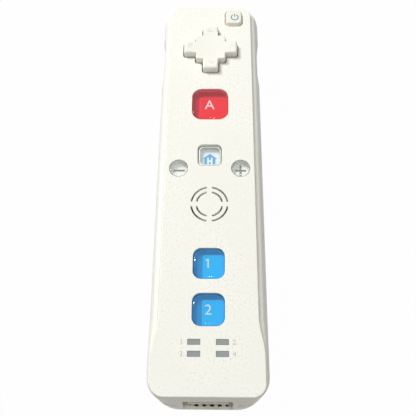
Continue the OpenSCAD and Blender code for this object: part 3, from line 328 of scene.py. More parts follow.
# a circle extruded ring by ring, each ring then laid on its own list of points, and both ends capped
def ringed(name, rings):
    count = len(rings[0])
    deselect()
    bpy.ops.mesh.primitive_circle_add(vertices=count, radius=1, fill_type="NOTHING")
    obj = bpy.context.object
    obj.name = name
    bpy.ops.object.mode_set(mode="EDIT")
    bpy.ops.mesh.select_all(action="SELECT")
    for _ in rings[1:]:
        bpy.ops.mesh.extrude_region_move(TRANSFORM_OT_translate={"value": (0, 0, 1)})
    bpy.ops.object.mode_set(mode="OBJECT")
    mesh = obj.data
    co = np.empty(len(mesh.vertices) * 3)
    mesh.vertices.foreach_get("co", co)
    co = co.reshape(-1, 3)
    level = np.rint(co[:, 2]).astype(int)
    turn = np.mod(np.arctan2(co[:, 1], co[:, 0]) + 1e-4, 2 * math.pi)
    spot = np.floor(turn / (2 * math.pi) * count + 1e-3).astype(int) % count
    placed = np.array([np.asarray(r, float) for r in rings])
    mesh.vertices.foreach_set("co", (placed[level, spot] / 1000).ravel())
    mesh.update()
    for wanted in (0, len(rings) - 1):
        bpy.ops.object.mode_set(mode="EDIT")
        bpy.ops.mesh.select_mode(type="VERT")
        bpy.ops.mesh.select_all(action="DESELECT")
        bpy.ops.object.mode_set(mode="OBJECT")
        mesh.vertices.foreach_set("select", level == wanted)
        bpy.ops.object.mode_set(mode="EDIT")
        bpy.ops.mesh.edge_face_add()
        bpy.ops.object.mode_set(mode="OBJECT")
    outward(obj)
    return obj


def outward(obj):
    activate(obj)
    bpy.ops.object.mode_set(mode="EDIT")
    bpy.ops.mesh.select_all(action="SELECT")
    bpy.ops.mesh.normals_make_consistent(inside=False)
    bpy.ops.object.mode_set(mode="OBJECT")


def flatRing(points, z):
    points = np.asarray(points, float)
    return np.column_stack((points, np.full(len(points), z)))


def modify(obj, kind, **settings):
    activate(obj)
    m = obj.modifiers.new(kind, kind)
    for key, value in settings.items():
        setattr(m, key, value)
    bpy.ops.object.modifier_apply(modifier=m.name)


# the cutters of one call must not overlap each other
def cut(obj, *cutters):
    tool = merged(cutters)
    modify(obj, "BOOLEAN", object=tool, operation="DIFFERENCE", solver="EXACT")
    bpy.data.objects.remove(tool)


def join(obj, other):
    modify(obj, "BOOLEAN", object=other, operation="UNION", solver="EXACT")
    bpy.data.objects.remove(other)


def shift(obj, x=0.0, y=0.0, z=0.0):
    obj.data.transform(Matrix.Translation((x / 1000, y / 1000, z / 1000)))


def merged(objs):
    if len(objs) == 1:
        return objs[0]
    activate(*objs)
    bpy.ops.object.join()
    return bpy.context.object


def smooth(obj, angle=30, weighted=True):
    activate(obj)
    bpy.ops.object.shade_smooth_by_angle(angle=math.radians(angle))
    if weighted:
        modify(obj, "WEIGHTED_NORMAL", keep_sharp=True, weight=60)


# gives a piece its material and body; faces steeper than "steep" take the side material
def finish(obj, bodyName, slotName, material, *nodes, side=None, steep=0.4):
    obj.data.materials.clear()
    obj.data.materials.append(material)
    if side:
        obj.data.materials.append(side)
    for p in obj.data.polygons:
        p.material_index = 1 if side and abs(p.normal.z) < steep else 0
    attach(obj, bodyName)
    if nodes:
        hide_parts(*nodes)
    return obj


dressing = {"weld": 2e-6, "flatWithin": 0.4, "bevelFrom": 38, "smoothTo": 32}


# a copy of a node with its triangles merged and its sharp edges rounded
def dressed(node, name, bevel=0.15, segments=2):
    activate(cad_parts[node])
    bpy.ops.object.duplicate()
    obj = bpy.context.object
    obj.name = name
    bpy.ops.object.mode_set(mode="EDIT")
    bpy.ops.mesh.select_all(action="SELECT")
    bpy.ops.mesh.remove_doubles(threshold=dressing["weld"])
    bpy.ops.mesh.dissolve_limited(angle_limit=math.radians(dressing["flatWithin"]))
    bpy.ops.object.mode_set(mode="OBJECT")
    if bevel:
        modify(obj, "BEVEL", width=bevel / 1000, segments=segments, limit_method="ANGLE",
               angle_limit=math.radians(dressing["bevelFrom"]), use_clamp_overlap=False)
    smooth(obj, dressing["smoothTo"])
    return obj


def roundedBox(w, h, r, n=10):
    points = []
    for q in range(4):
        sx = 1 if q in (0, 3) else -1
        sy = 1 if q < 2 else -1
        for k in range(n + 1):
            a = math.radians(q * 90 + 90 * k / n)
            points.append((sx * (w / 2 - r) + r * math.cos(a), sy * (h / 2 - r) + r * math.sin(a)))
    return np.array(points)


def circle(r, n=64):
    a = np.arange(n) * 2 * math.pi / n
    return np.column_stack((r * np.cos(a), r * np.sin(a)))


def crossShape(grow, r=0.9, n=5):
    s, a, b = pad["span"] / 2 + grow, pad["arm"] / 2 + grow, pad["block"] / 2 + grow
    r = r + grow if grow > 0 else max(r + grow, 0.15)
    points = []
    for q in range(4):
        part = []
        for k in range(n + 1):
            t = math.radians(90 * k / n)
            part.append((s - r + r * math.cos(t), a - r + r * math.sin(t)))
        part.append((b, a))
        rb = 0.8 * r
        for k in range(n + 1):
            t = math.radians(90 * k / n)
            part.append((b - rb + rb * math.cos(t), b - rb + rb * math.sin(t)))
        part.append((a, b))
        for k in range(n + 1):
            t = math.radians(90 * k / n)
            part.append((a - r + r * math.cos(t), s - r + r * math.sin(t)))
        turn = math.radians(90 * q)
        c, d = math.cos(turn), math.sin(turn)
        points += [(x * c - y * d, x * d + y * c) for x, y in part]
    return np.array(points)


# an arc of even width with round ends
def arcSlot(radius, width, start, stop, grow=0.0, n=20):
    half = width / 2 + grow
    points = [((radius + half) * math.cos(a), (radius + half) * math.sin(a)) for a in np.linspace(start, stop, n)]
    inner = [((radius - half) * math.cos(a), (radius - half) * math.sin(a)) for a in np.linspace(stop, start, n)]
    halfTurn = np.linspace(0, math.pi, 8)[1:-1]
    for middle, first, after in ((stop, stop, inner), (start, start + math.pi, [])):
        x, y = radius * math.cos(middle), radius * math.sin(middle)
        points += [(x + half * math.cos(first + t), y + half * math.sin(first + t)) for t in halfTurn]
        points += after
    return np.array(points)


# a cutter for an opening of the face, which flares into a rounded rim at the top
def flared(name, shape, rim, x=0.0, y=0.0, low=24.0, steps=5):
    top = body["face"]
    rings = [flatRing(shape(0.0), low), flatRing(shape(0.0), top - rim)]
    for k in range(1, steps + 1):
        a = math.radians(90 * k / steps)
        rings.append(flatRing(shape(rim * (1 - math.cos(a))), top - rim + rim * math.sin(a)))
    rings.append(flatRing(shape(rim), top + 3))
    for r in rings:
        r[:, 0] += x
        r[:, 1] += y
    return ringed(name, rings)


# a shape drawn in X and Z, extruded along Y
def along(name, shape, z, y0, y1):
    obj = ringed(name, [flatRing(shape, 0), flatRing(shape, y1 - y0)])
    turn = Matrix.Translation((0, y1 / 1000, z / 1000)) @ Matrix.Rotation(math.radians(90), 4, "X")
    obj.data.transform(turn)
    return obj


def box(name, x0, x1, y0, y1, z0, z1):
    bpy.ops.mesh.primitive_cube_add(size=1)
    obj = bpy.context.object
    obj.name = name
    sizes = Matrix.Diagonal(((x1 - x0) / 1000, (y1 - y0) / 1000, (z1 - z0) / 1000, 1))
    obj.data.transform(Matrix.Translation(((x0 + x1) / 2000, (y0 + y1) / 2000, (z0 + z1) / 2000)) @ sizes)
    return obj


# finishes

# Clear acrylic lets the core below show, with a polished gloss on its outer faces only. The ripple of the
# moulding is 2.5 mm long.
clearLook = {"rippleMm": 2.5, "rippleDepth": 0.00003, "gloss": 0.06, "ior": 1.49, "cloudRoughness": 0.25}


def clearPlastic(name, tint, veil, shade, shadow="F0F0F0"):
    material, tree, out = newMaterial(name)
    where = addNode(tree, "TexCoord").outputs["Object"]
    ripple = addNode(tree, "TexNoise", {"Scale": 1000 / clearLook["rippleMm"], "Detail": 1.0}, {"Vector": where})
    bump = addNode(tree, "Bump", {"Distance": clearLook["rippleDepth"], "Strength": 0.25},
                   {"Height": ripple.outputs["Fac"]})
    through = addNode(tree, "BsdfTransparent", {"Color": linear(tint)})
    cloudy = addNode(tree, "BsdfPrincipled", {"Base Color": linear(shade), "Roughness": clearLook["cloudRoughness"]})
    inner = addNode(tree, "MixShader", {0: veil}, {1: through.outputs[0], 2: cloudy.outputs[0]})
    shine = addNode(tree, "BsdfGlossy", {"Color": (1, 1, 1, 1), "Roughness": clearLook["gloss"]},
                    {"Normal": bump.outputs[0]})
    amount = addNode(tree, "Fresnel", {"IOR": clearLook["ior"]}, {"Normal": bump.outputs[0]})
    facing = addNode(tree, "NewGeometry")
    outer = addNode(tree, "Math", {0: 1.0}, {1: facing.outputs["Backfacing"]}, operation="SUBTRACT")
    gloss = addNode(tree, "Math", {}, {0: amount.outputs[0], 1: outer.outputs[0]}, operation="MULTIPLY")
    surface = addNode(tree, "MixShader", {}, {0: gloss.outputs[0], 1: inner.outputs[0], 2: shine.outputs[0]})
    path = addNode(tree, "LightPath")
    dim = addNode(tree, "BsdfTransparent", {"Color": linear(shadow)})
    shadowed = addNode(tree, "MixShader", {},
                       {0: path.outputs["Is Shadow Ray"], 1: surface.outputs[0], 2: dim.outputs[0]})
    tree.links.new(shadowed.outputs[0], out.inputs["Surface"])
    return material


# Drawn or rolled metal: lines 1.5 mm apart, stretched along the way it was drawn. Real lines are finer; they are
# drawn as coarse as they need to show.
metalLook = {"lineMm": 1.5, "lineDepth": 0.00001, "smoother": 0.08, "rougher": 0.1}


def metal(name, colour, roughness, grain=(1, 1, 12)):
    material, tree, out = newMaterial(name)
    where = addNode(tree, "TexCoord").outputs["Object"]
    scale = tuple(1000 / metalLook["lineMm"] * g for g in grain)
    stretch = addNode(tree, "Mapping", {"Scale": scale}, {"Vector": where})
    lines = addNode(tree, "TexNoise", {"Scale": 1.0, "Detail": 4.0}, {"Vector": stretch.outputs[0]})
    limits = {"To Min": roughness - metalLook["smoother"], "To Max": roughness + metalLook["rougher"]}
    rough = addNode(tree, "MapRange", limits, {"Value": lines.outputs["Fac"]})
    height = addNode(tree, "Bump", {"Distance": metalLook["lineDepth"], "Strength": 0.4},
                     {"Height": lines.outputs["Fac"]})
    shader = addNode(tree, "BsdfPrincipled", {"Base Color": linear(colour), "Metallic": 1.0},
                     {"Roughness": rough.outputs[0], "Normal": height.outputs[0]})
    tree.links.new(shader.outputs[0], out.inputs["Surface"])
    return material


# housing: ABS moulded against a spark-eroded steel, a matt white with faint grey specks
whiteAbs = mouldedPlastic("whiteAbsFineTexture", "F6F5EC", "F1F0E7", 0.42, grainMm=0.45, bump=0.05, speck=0.28)
# pad, trigger and power cap: ABS from a smoother mould, a plain warm white with a soft sheen
controlAbs = mouldedPlastic("whiteAbsControls", "F3F2E9", "EDEBE0", 0.38, bump=0.01)
capAbs = mouldedPlastic("warmWhiteCap", "F2EFE6", "EAE6DA", 0.35, bump=0.01)
# lenses: acrylic moulded in a polished steel, nearly clear, glossy; the two round ones are a little milky
redLensPlastic = clearPlastic("redAcrylicLens", "FFF8F8", 0.02, "E8384A")
blueLensPlastic = clearPlastic("blueAcrylicLens", "F4FBFF", 0.015, "2E97DA")
greyLensPlastic = clearPlastic("clearAcrylicLens", "FCFCFC", 0.07, "EAF4F4", "FAFAFA")
milkyLensPlastic = clearPlastic("milkyAcrylicLens", "FCFCFC", 0.16, "EAECE8", "FAFAFA")
# flanks of the lenses: painted light; the acrylic gathers the light of the core there, and these opaque tones paint
# that light in, so the rim reads as a solid bright tone; the pale rim of the home lens is a painted highlight
rimHighlightSide = mouldedPlastic("paintedHighlightRim", "F2F4F0", "ECEEEA", 0.3, bump=0.004)
redSide = mouldedPlastic("redAcrylicSide", "F85064", "F04A5C", 0.2, bump=0.004)
blueSide = mouldedPlastic("blueAcrylicSide", "4CC8F8", "46C0F0", 0.2, bump=0.004)
greySide = mouldedPlastic("clearAcrylicSide", "DCE0E0", "D0D4D4", 0.2, bump=0.004)
# cores: ABS dyed in the mass and moulded smooth, the colour that shows through the lens
redCorePlastic = mouldedPlastic("redAbsCore", "F22C3C", "EA2836", 0.35, bump=0.01)
blueCorePlastic = mouldedPlastic("blueAbsCore", "08C4FA", "06BCF0", 0.35, bump=0.01)
greyCorePlastic = mouldedPlastic("paleGreyAbsCore", "F0F8F8", "E8F0F0", 0.3, bump=0.01)
silverCorePlastic = mouldedPlastic("silverAbsCore", "FAFAF4", "F2F2EC", 0.3, bump=0.01)
# bands on the cores: painted shade, flat darker tones in an L on the left and far sides, where the rim of the lens
# well shades the core; and a painted highlight, a pale line along the inner edge of that L
redPaintedShade = mouldedPlastic("crimsonPaintedShade", "C62840", "BE243A", 0.35, bump=0.004)
redPaintedHighlight = mouldedPlastic("pinkPaintedHighlight", "FF6474", "F85C6C", 0.35, bump=0.004)
bluePaintedShade = mouldedPlastic("deepBluePaintedShade", "0698D2", "0690CA", 0.35, bump=0.004)
bluePaintedHighlight = mouldedPlastic("paleBluePaintedHighlight", "54D2FF", "4CCAF8", 0.35, bump=0.004)
# letters and signs: pad-printed ink, thin, matt and even
markInk = mouldedPlastic("whitePrintedMark", "F6F8F8", "EEF2F2", 0.5, bump=0.004)
houseInk = mouldedPlastic("lightBluePrint", "48B0E2", "40A8DA", 0.5, bump=0.004)
signInk = mouldedPlastic("slatePrint", "2E3844", "28323E", 0.5, bump=0.004)
tealInk = mouldedPlastic("tealPrint", "5B9DB5", "5494AC", 0.5, bump=0.004)
faintInk = mouldedPlastic("faintGreyPrint", "BEB8AE", "B6B0A6", 0.5, bump=0.004)
# light windows: smoke-grey acrylic, moulded; grey and satin while the lights are off
smokePlastic = mouldedPlastic("smokyLightPipe", "909695", "8A908F", 0.25, bump=0.01)
# nose window: infrared-pass acrylic, polished; almost black, with a sharp gloss
irPlastic = mouldedPlastic("darkInfraredAcrylic", "17090F", "12070C", 0.08, bump=0.004, coat=0.3)
# port and camera holder: uncoloured nylon, moulded; a satin cream
creamNylon = mouldedPlastic("creamNylon", "E6E1D0", "DDD7C4", 0.45, bump=0.02)
# small parts inside: moulded plastics, black with a dull sheen and red with a brighter one
blackPlastic = mouldedPlastic("blackPlastic", "1B1B1E", "161618", 0.5, bump=0.02)
redPlastic = mouldedPlastic("redPlastic", "C02020", "B01A1A", 0.35, bump=0.01)
# keypads, pivot and gasket: silicone rubber, pressed; a dull mid grey
silicone = mouldedPlastic("greySilicone", "8B8D8F", "808284", 0.6, bump=0.02)
# speaker cone: pressed paper pulp, without any gloss, its fibres drawn 0.6 mm wide so that they show
coneMaterial = mouldedPlastic("pressedPaperCone", "A8A298", "9C968C", 0.8, grainMm=0.6, bump=0.05)
# board: screen-printed solder mask over copper, a smooth green
boardMaterial = mouldedPlastic("greenSolderMask", "1F6B3F", "195C36", 0.3, bump=0.01)
# wrap of the cells: printed plastic film, shrunk on; dark with a clear gloss
foilMaterial = mouldedPlastic("cellFoil", "2B3138", "252A30", 0.3, bump=0.01, coat=0.4)
# springs, bars and pin: drawn wire, nickel plated, a warm bright grey
steel = metal("nickelPlatedSteel", "B9B8B4", 0.3)
# screws, plates and cans: stamped or turned steel, zinc plated, a cooler and brighter grey
zincSteel = metal("zincPlatedSteel", "C3C4C6", 0.28, (12, 1, 1))
# motor weight: sintered tungsten, a dull brownish grey
tungsten = metal("sinteredWeight", "8F8A80", 0.45)
# port contacts: stamped bronze, gold plated, smooth
gold = metal("goldPlatedContact", "E3C173", 0.22, (1, 8, 1))
# collar of the cells: film printed in a copper metallic, satin
copperFoil = metal("copperPrintedFoil", "C98A50", 0.3, (1, 12, 1))
print("finishes ready")


# front shell: the outline is extruded ring by ring, then its openings are cut with rounded rims

front = {"edge": 0.3, "rim": 0.22, "slotRim": 0.1, "lightRim": 0.06, "seam": 0.12, "seamHeight": 0.18}


# height and inset of each ring: the chamfer at the joint, the bulge of the side, the rounded edge of the face
def frontLevels():
    levels = [(body["parting"], front["seam"]), (body["parting"] + front["seamHeight"], 0.0)]
    levels += [(z, 0.0) for z in np.linspace(14.2, body["widest"], 6)]
    for t in np.linspace(6, 90, 15):
        levels.append((body["widest"] + (body["foot"] - body["widest"]) * math.sin(math.radians(t)), 0.0))
    levels.append((body["foot"] + 0.12, 0.0))
    r = front["edge"]
    for a in np.linspace(0, 90, 6):
        levels.append((body["face"] - r + r * math.sin(math.radians(a)), r * (1 - math.cos(math.radians(a)))))
    return levels


# the ramp under a strap slot, on which the cord runs in
ramp = {"mouth": -75.5, "back": -72.6, "drop": 1.6, "rise": 0.2, "side": 0.1}


def leadIn(side):
    wide = strap["width"] / 2 - ramp["side"]
    wedge = box("leadIn", side * strap["x"] - wide, side * strap["x"] + wide, ramp["mouth"], ramp["back"],
                strap["floor"] - ramp["drop"], strap["floor"] + 1)
    for v in wedge.data.vertices:
        if v.co.z * 1000 < strap["floor"] and v.co.y * 1000 > ramp["mouth"] + 1:
            v.co.z = (strap["floor"] + ramp["rise"]) / 1000
    return wedge


def squareHole(key):
    s = squares[key]
    return flared(key, lambda d: roundedBox(s["size"] + 2 * d, s["size"] + 2 * d, s["corner"] + d),
                  front["rim"], y=s["y"])


def speakerSlots():
    tools = []
    for across in (speaker["outer"], speaker["inner"]):
        radius = (across - speaker["slot"]) / 2
        lap = math.asin((speaker["cross"] / 2 + speaker["slot"] / 2) / radius)
        for q in range(4):
            first, last = q * math.pi / 2 + lap, q * math.pi / 2 + math.pi / 2 - lap
            tools.append(flared("slot", lambda d: arcSlot(radius, speaker["slot"], first, last, d),
                                front["slotRim"], y=speaker["y"], steps=3))
    return tools


def lightHoles():
    tools = []
    for side in (-1, 1):
        for t in (-0.5, 0.5):
            tools.append(flared("lightHole",
                                lambda d: roundedBox(lights["width"] + 2 * d, lights["length"] + 2 * d, 0.12 + d, 3),
                                front["lightRim"], side * lights["x"], lights["y"] + t * lights["pitch"], steps=2))
    return tools


def makeFrontShell():
    shell = ringed("frontShell", [flatRing(outline(z, inset), z) for z, inset in frontLevels()])
    heights = (13.0, 15.5, 18.0, 20.0, 22.5, 24.3, 25.4, body["roof"])
    rings = [flatRing(outline(z, body["wall"]), z) for z in heights]
    rings[0][:, 2] = body["parting"] - 1  # the hollow is open below
    cut(shell, ringed("inside", rings))
    rim = front["rim"]
    tools = [squareHole(key) for key in squares]
    tools.append(flared("powerHole",
                        lambda d: roundedBox(power["width"] + 2 * d, power["length"] + 2 * d, power["corner"] + d),
                        power["rim"], power["x"], power["y"]))
    for side in (-1, 1):
        tools.append(flared("roundHole", lambda d: circle(rounds["radius"] + d), rim,
                            side * rounds["x"], rounds["y"]))
    tools.append(flared("padHole", lambda d: crossShape(pad["gap"] + d), rim, y=pad["y"]))
    cut(shell, *tools, *speakerSlots(), *lightHoles())
    mouth = roundedBox(2 * port["half"], port["top"] - port["floor"], port["corner"], 6)
    cut(shell, along("mouth", mouth, (port["floor"] + port["top"]) / 2, -77, port["back"]))
    cut(shell, box("notch", -0.6, 3.4, -77, -72.4, port["floor"] - 0.9, port["floor"] + 1))
    tools = []
    for side in (-1, 1):
        slot = roundedBox(strap["width"], strap["height"], strap["corner"], 4)
        tool = along("strapSlot", slot, strap["floor"] + strap["height"] / 2, -77, -71)
        shift(tool, side * strap["x"])
        tools.append(tool)
    gap = window["gap"]
    glass = roundedBox(window["width"] + 2 * gap, window["height"] + 2 * gap, window["corner"] + gap)
    cut(shell, *tools, along("windowHole", glass, window["z"], 71, 77))
    cut(shell, leadIn(-1), leadIn(1))
    smooth(shell, 28)
    finish(shell, "housing", "shell_plastic", whiteAbs, "front_shell")
    return shell


makeFrontShell()
print("front shell made")

# node, piece, width and steps of its rounded edges, body, slot and finish
rounded = (
    ("rear_shell", "rearShell", 0.12, 2, "housing", "shell_plastic", whiteAbs),
    ("battery_door", "batteryDoor", 0.15, 2, "battery_door", "shell_plastic", whiteAbs),
    ("nose_window", "noseWindow", 0.25, 3, "housing", "window_plastic", irPlastic),
    ("trigger", "triggerBlade", 0.45, 3, "trigger", "button_plastic", controlAbs),
    ("port_housing", "portHousing", 0.12, 2, "housing", "cream_plastic", creamNylon),
    ("light_windows", "lightWindows", 0.08, 2, "housing", "light_plastic", smokePlastic),
)
for node, name, width, steps, bodyName, slotName, material in rounded:
    finish(dressed(node, name, width, steps), bodyName, slotName, material, node)
print("rear, door, window, trigger and port finished")


# buttons: a clear lens with a rounded rim on a core, with a printed mark between them

lens = {"footBevel": 0.08, "rimSteps": 6, "crownSteps": 15}


# height of a spherical crown over each point
def domeZ(points, top, radius):
    d2 = points[:, 0] ** 2 + points[:, 1] ** 2
    return top - (radius - np.sqrt(np.maximum(radius ** 2 - d2, 0)))


def makeLens(name, shape, half, top, crown, edge, x, y):
    radius = (half ** 2 + crown ** 2) / (2 * crown)
    foot = lens["footBevel"]
    rings = [flatRing(shape(-foot), lensBottom), flatRing(shape(0.0), lensBottom + foot)]
    for k in range(lens["rimSteps"] + 1):
        a = math.radians(90 * k / lens["rimSteps"])
        points = shape(-edge * (1 - math.cos(a)))
        rings.append(np.column_stack((points, domeZ(points, top, radius) - edge * (1 - math.sin(a)))))
    inner = shape(-edge)
    for k in range(1, lens["crownSteps"]):
        points = inner * (1 - k / lens["crownSteps"])
        rings.append(np.column_stack((points, domeZ(points, top, radius))))
    obj = ringed(name, rings)
    shift(obj, x, y)
    smooth(obj, 50, False)
    return obj


def squareLens(key, name):
    s = squares[key]
    w = s["size"] - 2 * s["gap"]
    return makeLens(name, lambda d: roundedBox(w + 2 * d, w + 2 * d, s["corner"] - s["gap"] + d, 12), w / 2,
                    s["top"], s["crown"], s["edge"], 0.0, s["y"])


# flat shapes with a little thickness, standing on height z
def printed(name, shapes, x, y, z, thick=0.05):
    obj = merged([ringed(name, [flatRing(shape, z), flatRing(shape, z + thick)]) for shape in shapes])
    obj.name = name
    shift(obj, x, y)
    return obj


# text scaled to a height in millimetres, centred on x and y
def lettered(name, text, height, x, y, z, spread=1.0, thick=0.05):
    deselect()
    bpy.ops.object.text_add()
    obj = bpy.context.object
    obj.name = name
    obj.data.body = text
    obj.data.align_x = "CENTER"
    obj.data.align_y = "CENTER"
    obj.data.extrude = 0.5
    bpy.ops.object.convert(target="MESH")
    co = np.array([v.co[:] for v in obj.data.vertices])
    lo, hi = co.min(0), co.max(0)
    scale = height / 1000 / (hi[1] - lo[1])
    mid = (lo + hi) / 2
    obj.data.transform(Matrix.Translation((x / 1000, y / 1000, (z + thick / 2) / 1000)) @
                       Matrix.Diagonal((scale * spread, scale, thick / 1000, 1)) @
                       Matrix.Translation((-mid[0], -mid[1], 0)))
    return obj


# "steep" is the slope from which a lens takes its side material, the painted rim light
lensPieces = {
    "a": {"piece": "aLens", "node": "a_button", "slot": "red_lens", "clear": redLensPlastic, "side": redSide,
          "steep": 0.4, "coreSlot": "red_core", "coreStuff": redCorePlastic},
    "home": {"piece": "homeLens", "node": "home_button", "slot": "clear_lens", "clear": greyLensPlastic,
             "side": rimHighlightSide, "steep": 0.96, "coreSlot": "grey_core", "coreStuff": greyCorePlastic},
    "one": {"piece": "oneLens", "node": "one_button", "slot": "blue_lens", "clear": blueLensPlastic,
            "side": blueSide, "steep": 0.4, "coreSlot": "blue_core", "coreStuff": blueCorePlastic},
    "two": {"piece": "twoLens", "node": "two_button", "slot": "blue_lens", "clear": blueLensPlastic,
            "side": blueSide, "steep": 0.4, "coreSlot": "blue_core", "coreStuff": blueCorePlastic},
}
for key, b in lensPieces.items():
    finish(squareLens(key, b["piece"]), b["node"], b["slot"], b["clear"], b["node"], side=b["side"], steep=b["steep"])
    finish(dressed(key + "_core", key + "Core", 0.12), b["node"], b["coreSlot"], b["coreStuff"], key + "_core")

# the painted shade: a darker L along the left and far sides of each core, where the well's rim shades it; and a
# painted highlight: the pale line on its inner edge
bands = {
    "a": {"left": 2.15, "far": 1.9, "inset": 0.35, "paintedShade": redPaintedShade, "line": redPaintedHighlight},
    "one": {"left": 2.6, "far": 1.3, "inset": 0.35, "paintedShade": bluePaintedShade, "line": bluePaintedHighlight},
    "two": {"left": 2.6, "far": 1.3, "inset": 0.35, "paintedShade": bluePaintedShade, "line": bluePaintedHighlight},
}
bandLine = {"bend": 0.5, "width": 0.16, "short": 0.4, "thick": 0.05, "bandThick": 0.03}
for key, b in bands.items():
    s, target = squares[key], lensPieces[key]
    h = s["size"] / 2 - s["gap"] - b["inset"]
    rim = roundedBox(2 * h, 2 * h, s["corner"] - b["inset"], 10)
    x0, y0, soft = -h + b["left"], h - b["far"], bandLine["bend"]
    edge = [(float(x), float(y)) for x, y in rim if x < x0 or y > y0]
    first = max(range(len(edge)), key=lambda k: (edge[k][0], -edge[k][1]))
    edge = edge[first:] + edge[:first]
    bend = [(x0 + soft - soft * math.sin(t), y0 - soft + soft * math.cos(t)) for t in np.linspace(0, math.pi / 2, 6)]
    band = np.array(edge + [(x0, -h)] + bend[::-1] + [(h, y0)])
    # the L of painted shade, laid on the core
    finish(printed(key + "Band", [band], 0.0, s["y"], coreTop, bandLine["bandThick"]),
           target["node"], target["coreSlot"], b["paintedShade"])
    # the pale line: a painted highlight along the inner edge of the painted shade
    t, short = bandLine["width"], bandLine["short"]
    inner = [(x + t, y - t) for x, y in bend]
    line = np.array([(x0, -h + short)] + bend[::-1] + [(h - short, y0), (h - short, y0 - t)] + inner +
                    [(x0 + t, -h + short)])
    finish(printed(key + "BandEdge", [line], 0.0, s["y"], coreTop, bandLine["thick"]),
           target["node"], target["coreSlot"], b["line"])

markThick = 0.08
marks = {
    "a": {"piece": "markA", "text": "A", "height": 3.9, "x": -0.25, "y": 1.15, "spread": 0.95},
    "two": {"piece": "markTwo", "text": "2", "height": 3.2, "x": -0.1, "y": 0.4, "spread": 1.0},
}
for key, m in marks.items():
    piece = lettered(m["piece"], m["text"], m["height"], m["x"], squares[key]["y"] + m["y"], coreTop, m["spread"],
                     markThick)
    finish(piece, lensPieces[key]["node"], lensPieces[key]["coreSlot"], markInk)
numeralOne = np.array([(0.28, -1.5), (0.28, 1.5), (-0.1, 1.5), (-0.75, 1.15), (-0.75, 0.75), (-0.17, 0.95),
                       (-0.17, -1.5)])
finish(printed("markOne", [numeralOne], -0.3, squares["one"]["y"] + 0.65, coreTop, markThick),
       "one_button", "blue_core", markInk)

signs = {"width": 2.0, "height": 2.2, "line": 0.34, "shift": 0.15}
for side, word in ((-1, "minus"), (1, "plus")):
    r = rounds["radius"] - rounds["gap"]
    piece = makeLens(word + "Lens", lambda d: circle(r + d, 72), r, rounds["top"], rounds["crown"], rounds["edge"],
                     side * rounds["x"], rounds["y"])
    finish(piece, word + "_button", "clear_lens", milkyLensPlastic, word + "_button", side=greySide)
    core = dressed(word + "_core", word + "Core", 0.1)
    finish(core, word + "_button", "grey_core", silverCorePlastic, word + "_core")
    w, h, t = signs["width"], signs["height"], signs["line"]
    sign = np.array([(-w, -t), (w, -t), (w, t), (-w, t)])
    if word == "plus":
        sign = np.array([(w, -t), (w, t), (t, t), (t, h), (-t, h), (-t, t), (-w, t), (-w, -t), (-t, -t), (-t, -h),
                         (t, -h), (t, -t)])
    piece = printed(word + "Sign", [sign], side * rounds["x"], rounds["y"] + signs["shift"], coreTop, markThick)
    finish(piece, word + "_button", "grey_core", signInk)

house = {"scale": 1.1, "drop": 0.45, "thick": 0.06, "doorThick": 0.05}
walls = house["scale"] * np.array([(0, 2.05), (2.35, 0.15), (1.75, 0.15), (1.75, -2.3), (-1.75, -2.3),
                                   (-1.75, 0.15), (-2.35, 0.15)])
doorway = house["scale"] * np.array([(-0.85, -2.0), (-0.3, -2.0), (-0.3, -1.0), (0.3, -1.0), (0.3, -2.0),
                                     (0.85, -2.0), (0.85, 0.55), (0.3, 0.55), (0.3, -0.4), (-0.3, -0.4),
                                     (-0.3, 0.55), (-0.85, 0.55)])
houseY = squares["home"]["y"] - house["drop"]
finish(printed("houseMark", [walls], 0.0, houseY, coreTop, house["thick"]), "home_button", "grey_core", houseInk)
finish(printed("houseDoor", [doorway], 0.0, houseY, coreTop + 0.05, house["doorThick"]),
       "home_button", "grey_core", markInk)
print("face buttons made")


# power button: a tapered cap with rounded edges

powerCap = {
    "foot": 24.9, "taperStart": 0.6, "taper": 0.6, "edge": 0.4, "spare": 0.2,
    "flangeLow": 24.8, "flangeHigh": 25.7, "stem": 1.6, "stemLow": 22.6, "stemHigh": 25.0,
    "ring": 1.35, "line": 0.42, "barLength": 1.5, "markX": 0.3, "markY": -0.3, "markThick": 0.04,
}


def makePowerCap():
    w, h = power["width"] - 2 * power["gap"], power["length"] - 2 * power["gap"]
    r = power["corner"] - power["gap"]
    taper, edge, spare = powerCap["taper"], powerCap["edge"], powerCap["spare"]
    start, shoulder = body["face"] - powerCap["taperStart"], power["top"] - powerCap["edge"]
    levels = [(powerCap["foot"], 0.0), (start, 0.0)]
    levels += [(start + (shoulder - start) * t, (spare - taper) * t) for t in (0.5, 1.0)]
    for a in np.radians(np.linspace(15, 90, 6)):
        levels.append((shoulder + edge * math.sin(a), -taper + spare - edge * (1 - math.cos(a))))
    cap = ringed("powerCap", [flatRing(roundedBox(w + 2 * d, h + 2 * d, r + d * 0.7, 8), z) for z, d in levels])
    shift(cap, power["x"], power["y"])
    plate = roundedBox(w + 1.6, h + 0.8, 1.8)
    flange = ringed("powerFlange", [flatRing(plate, z) for z in (powerCap["flangeLow"], powerCap["flangeHigh"])])
    shift(flange, power["x"], power["y"] - 0.4)
    post = circle(powerCap["stem"])
    stem = ringed("powerStem", [flatRing(post, z) for z in (powerCap["stemLow"], powerCap["stemHigh"])])
    shift(stem, power["x"], power["y"])
    join(cap, flange)
    join(cap, stem)
    smooth(cap, 35)
    return cap


finish(makePowerCap(), "power_button", "button_plastic", capAbs, "power_button")
ring = arcSlot(powerCap["ring"], powerCap["line"], math.radians(90 + 38), math.radians(90 + 322), 0.0, 40)
bar = roundedBox(powerCap["line"], powerCap["barLength"], 0.2, 4) + (0, 1.0)
finish(printed("powerMark", [ring, bar], power["x"] + powerCap["markX"], power["y"] + powerCap["markY"],
               power["top"], powerCap["markThick"]), "power_button", "button_plastic", tealInk)


# four-way pad: dished cross with thin triangles let into its arms

def triangle(d):
    tip, base, half = 8.9 + d * 2.0, 7.0 - d, 1.35 + d * 1.6
    return np.array([(tip, 0.0), (base, half), (base, 0.0), (base, -half)])


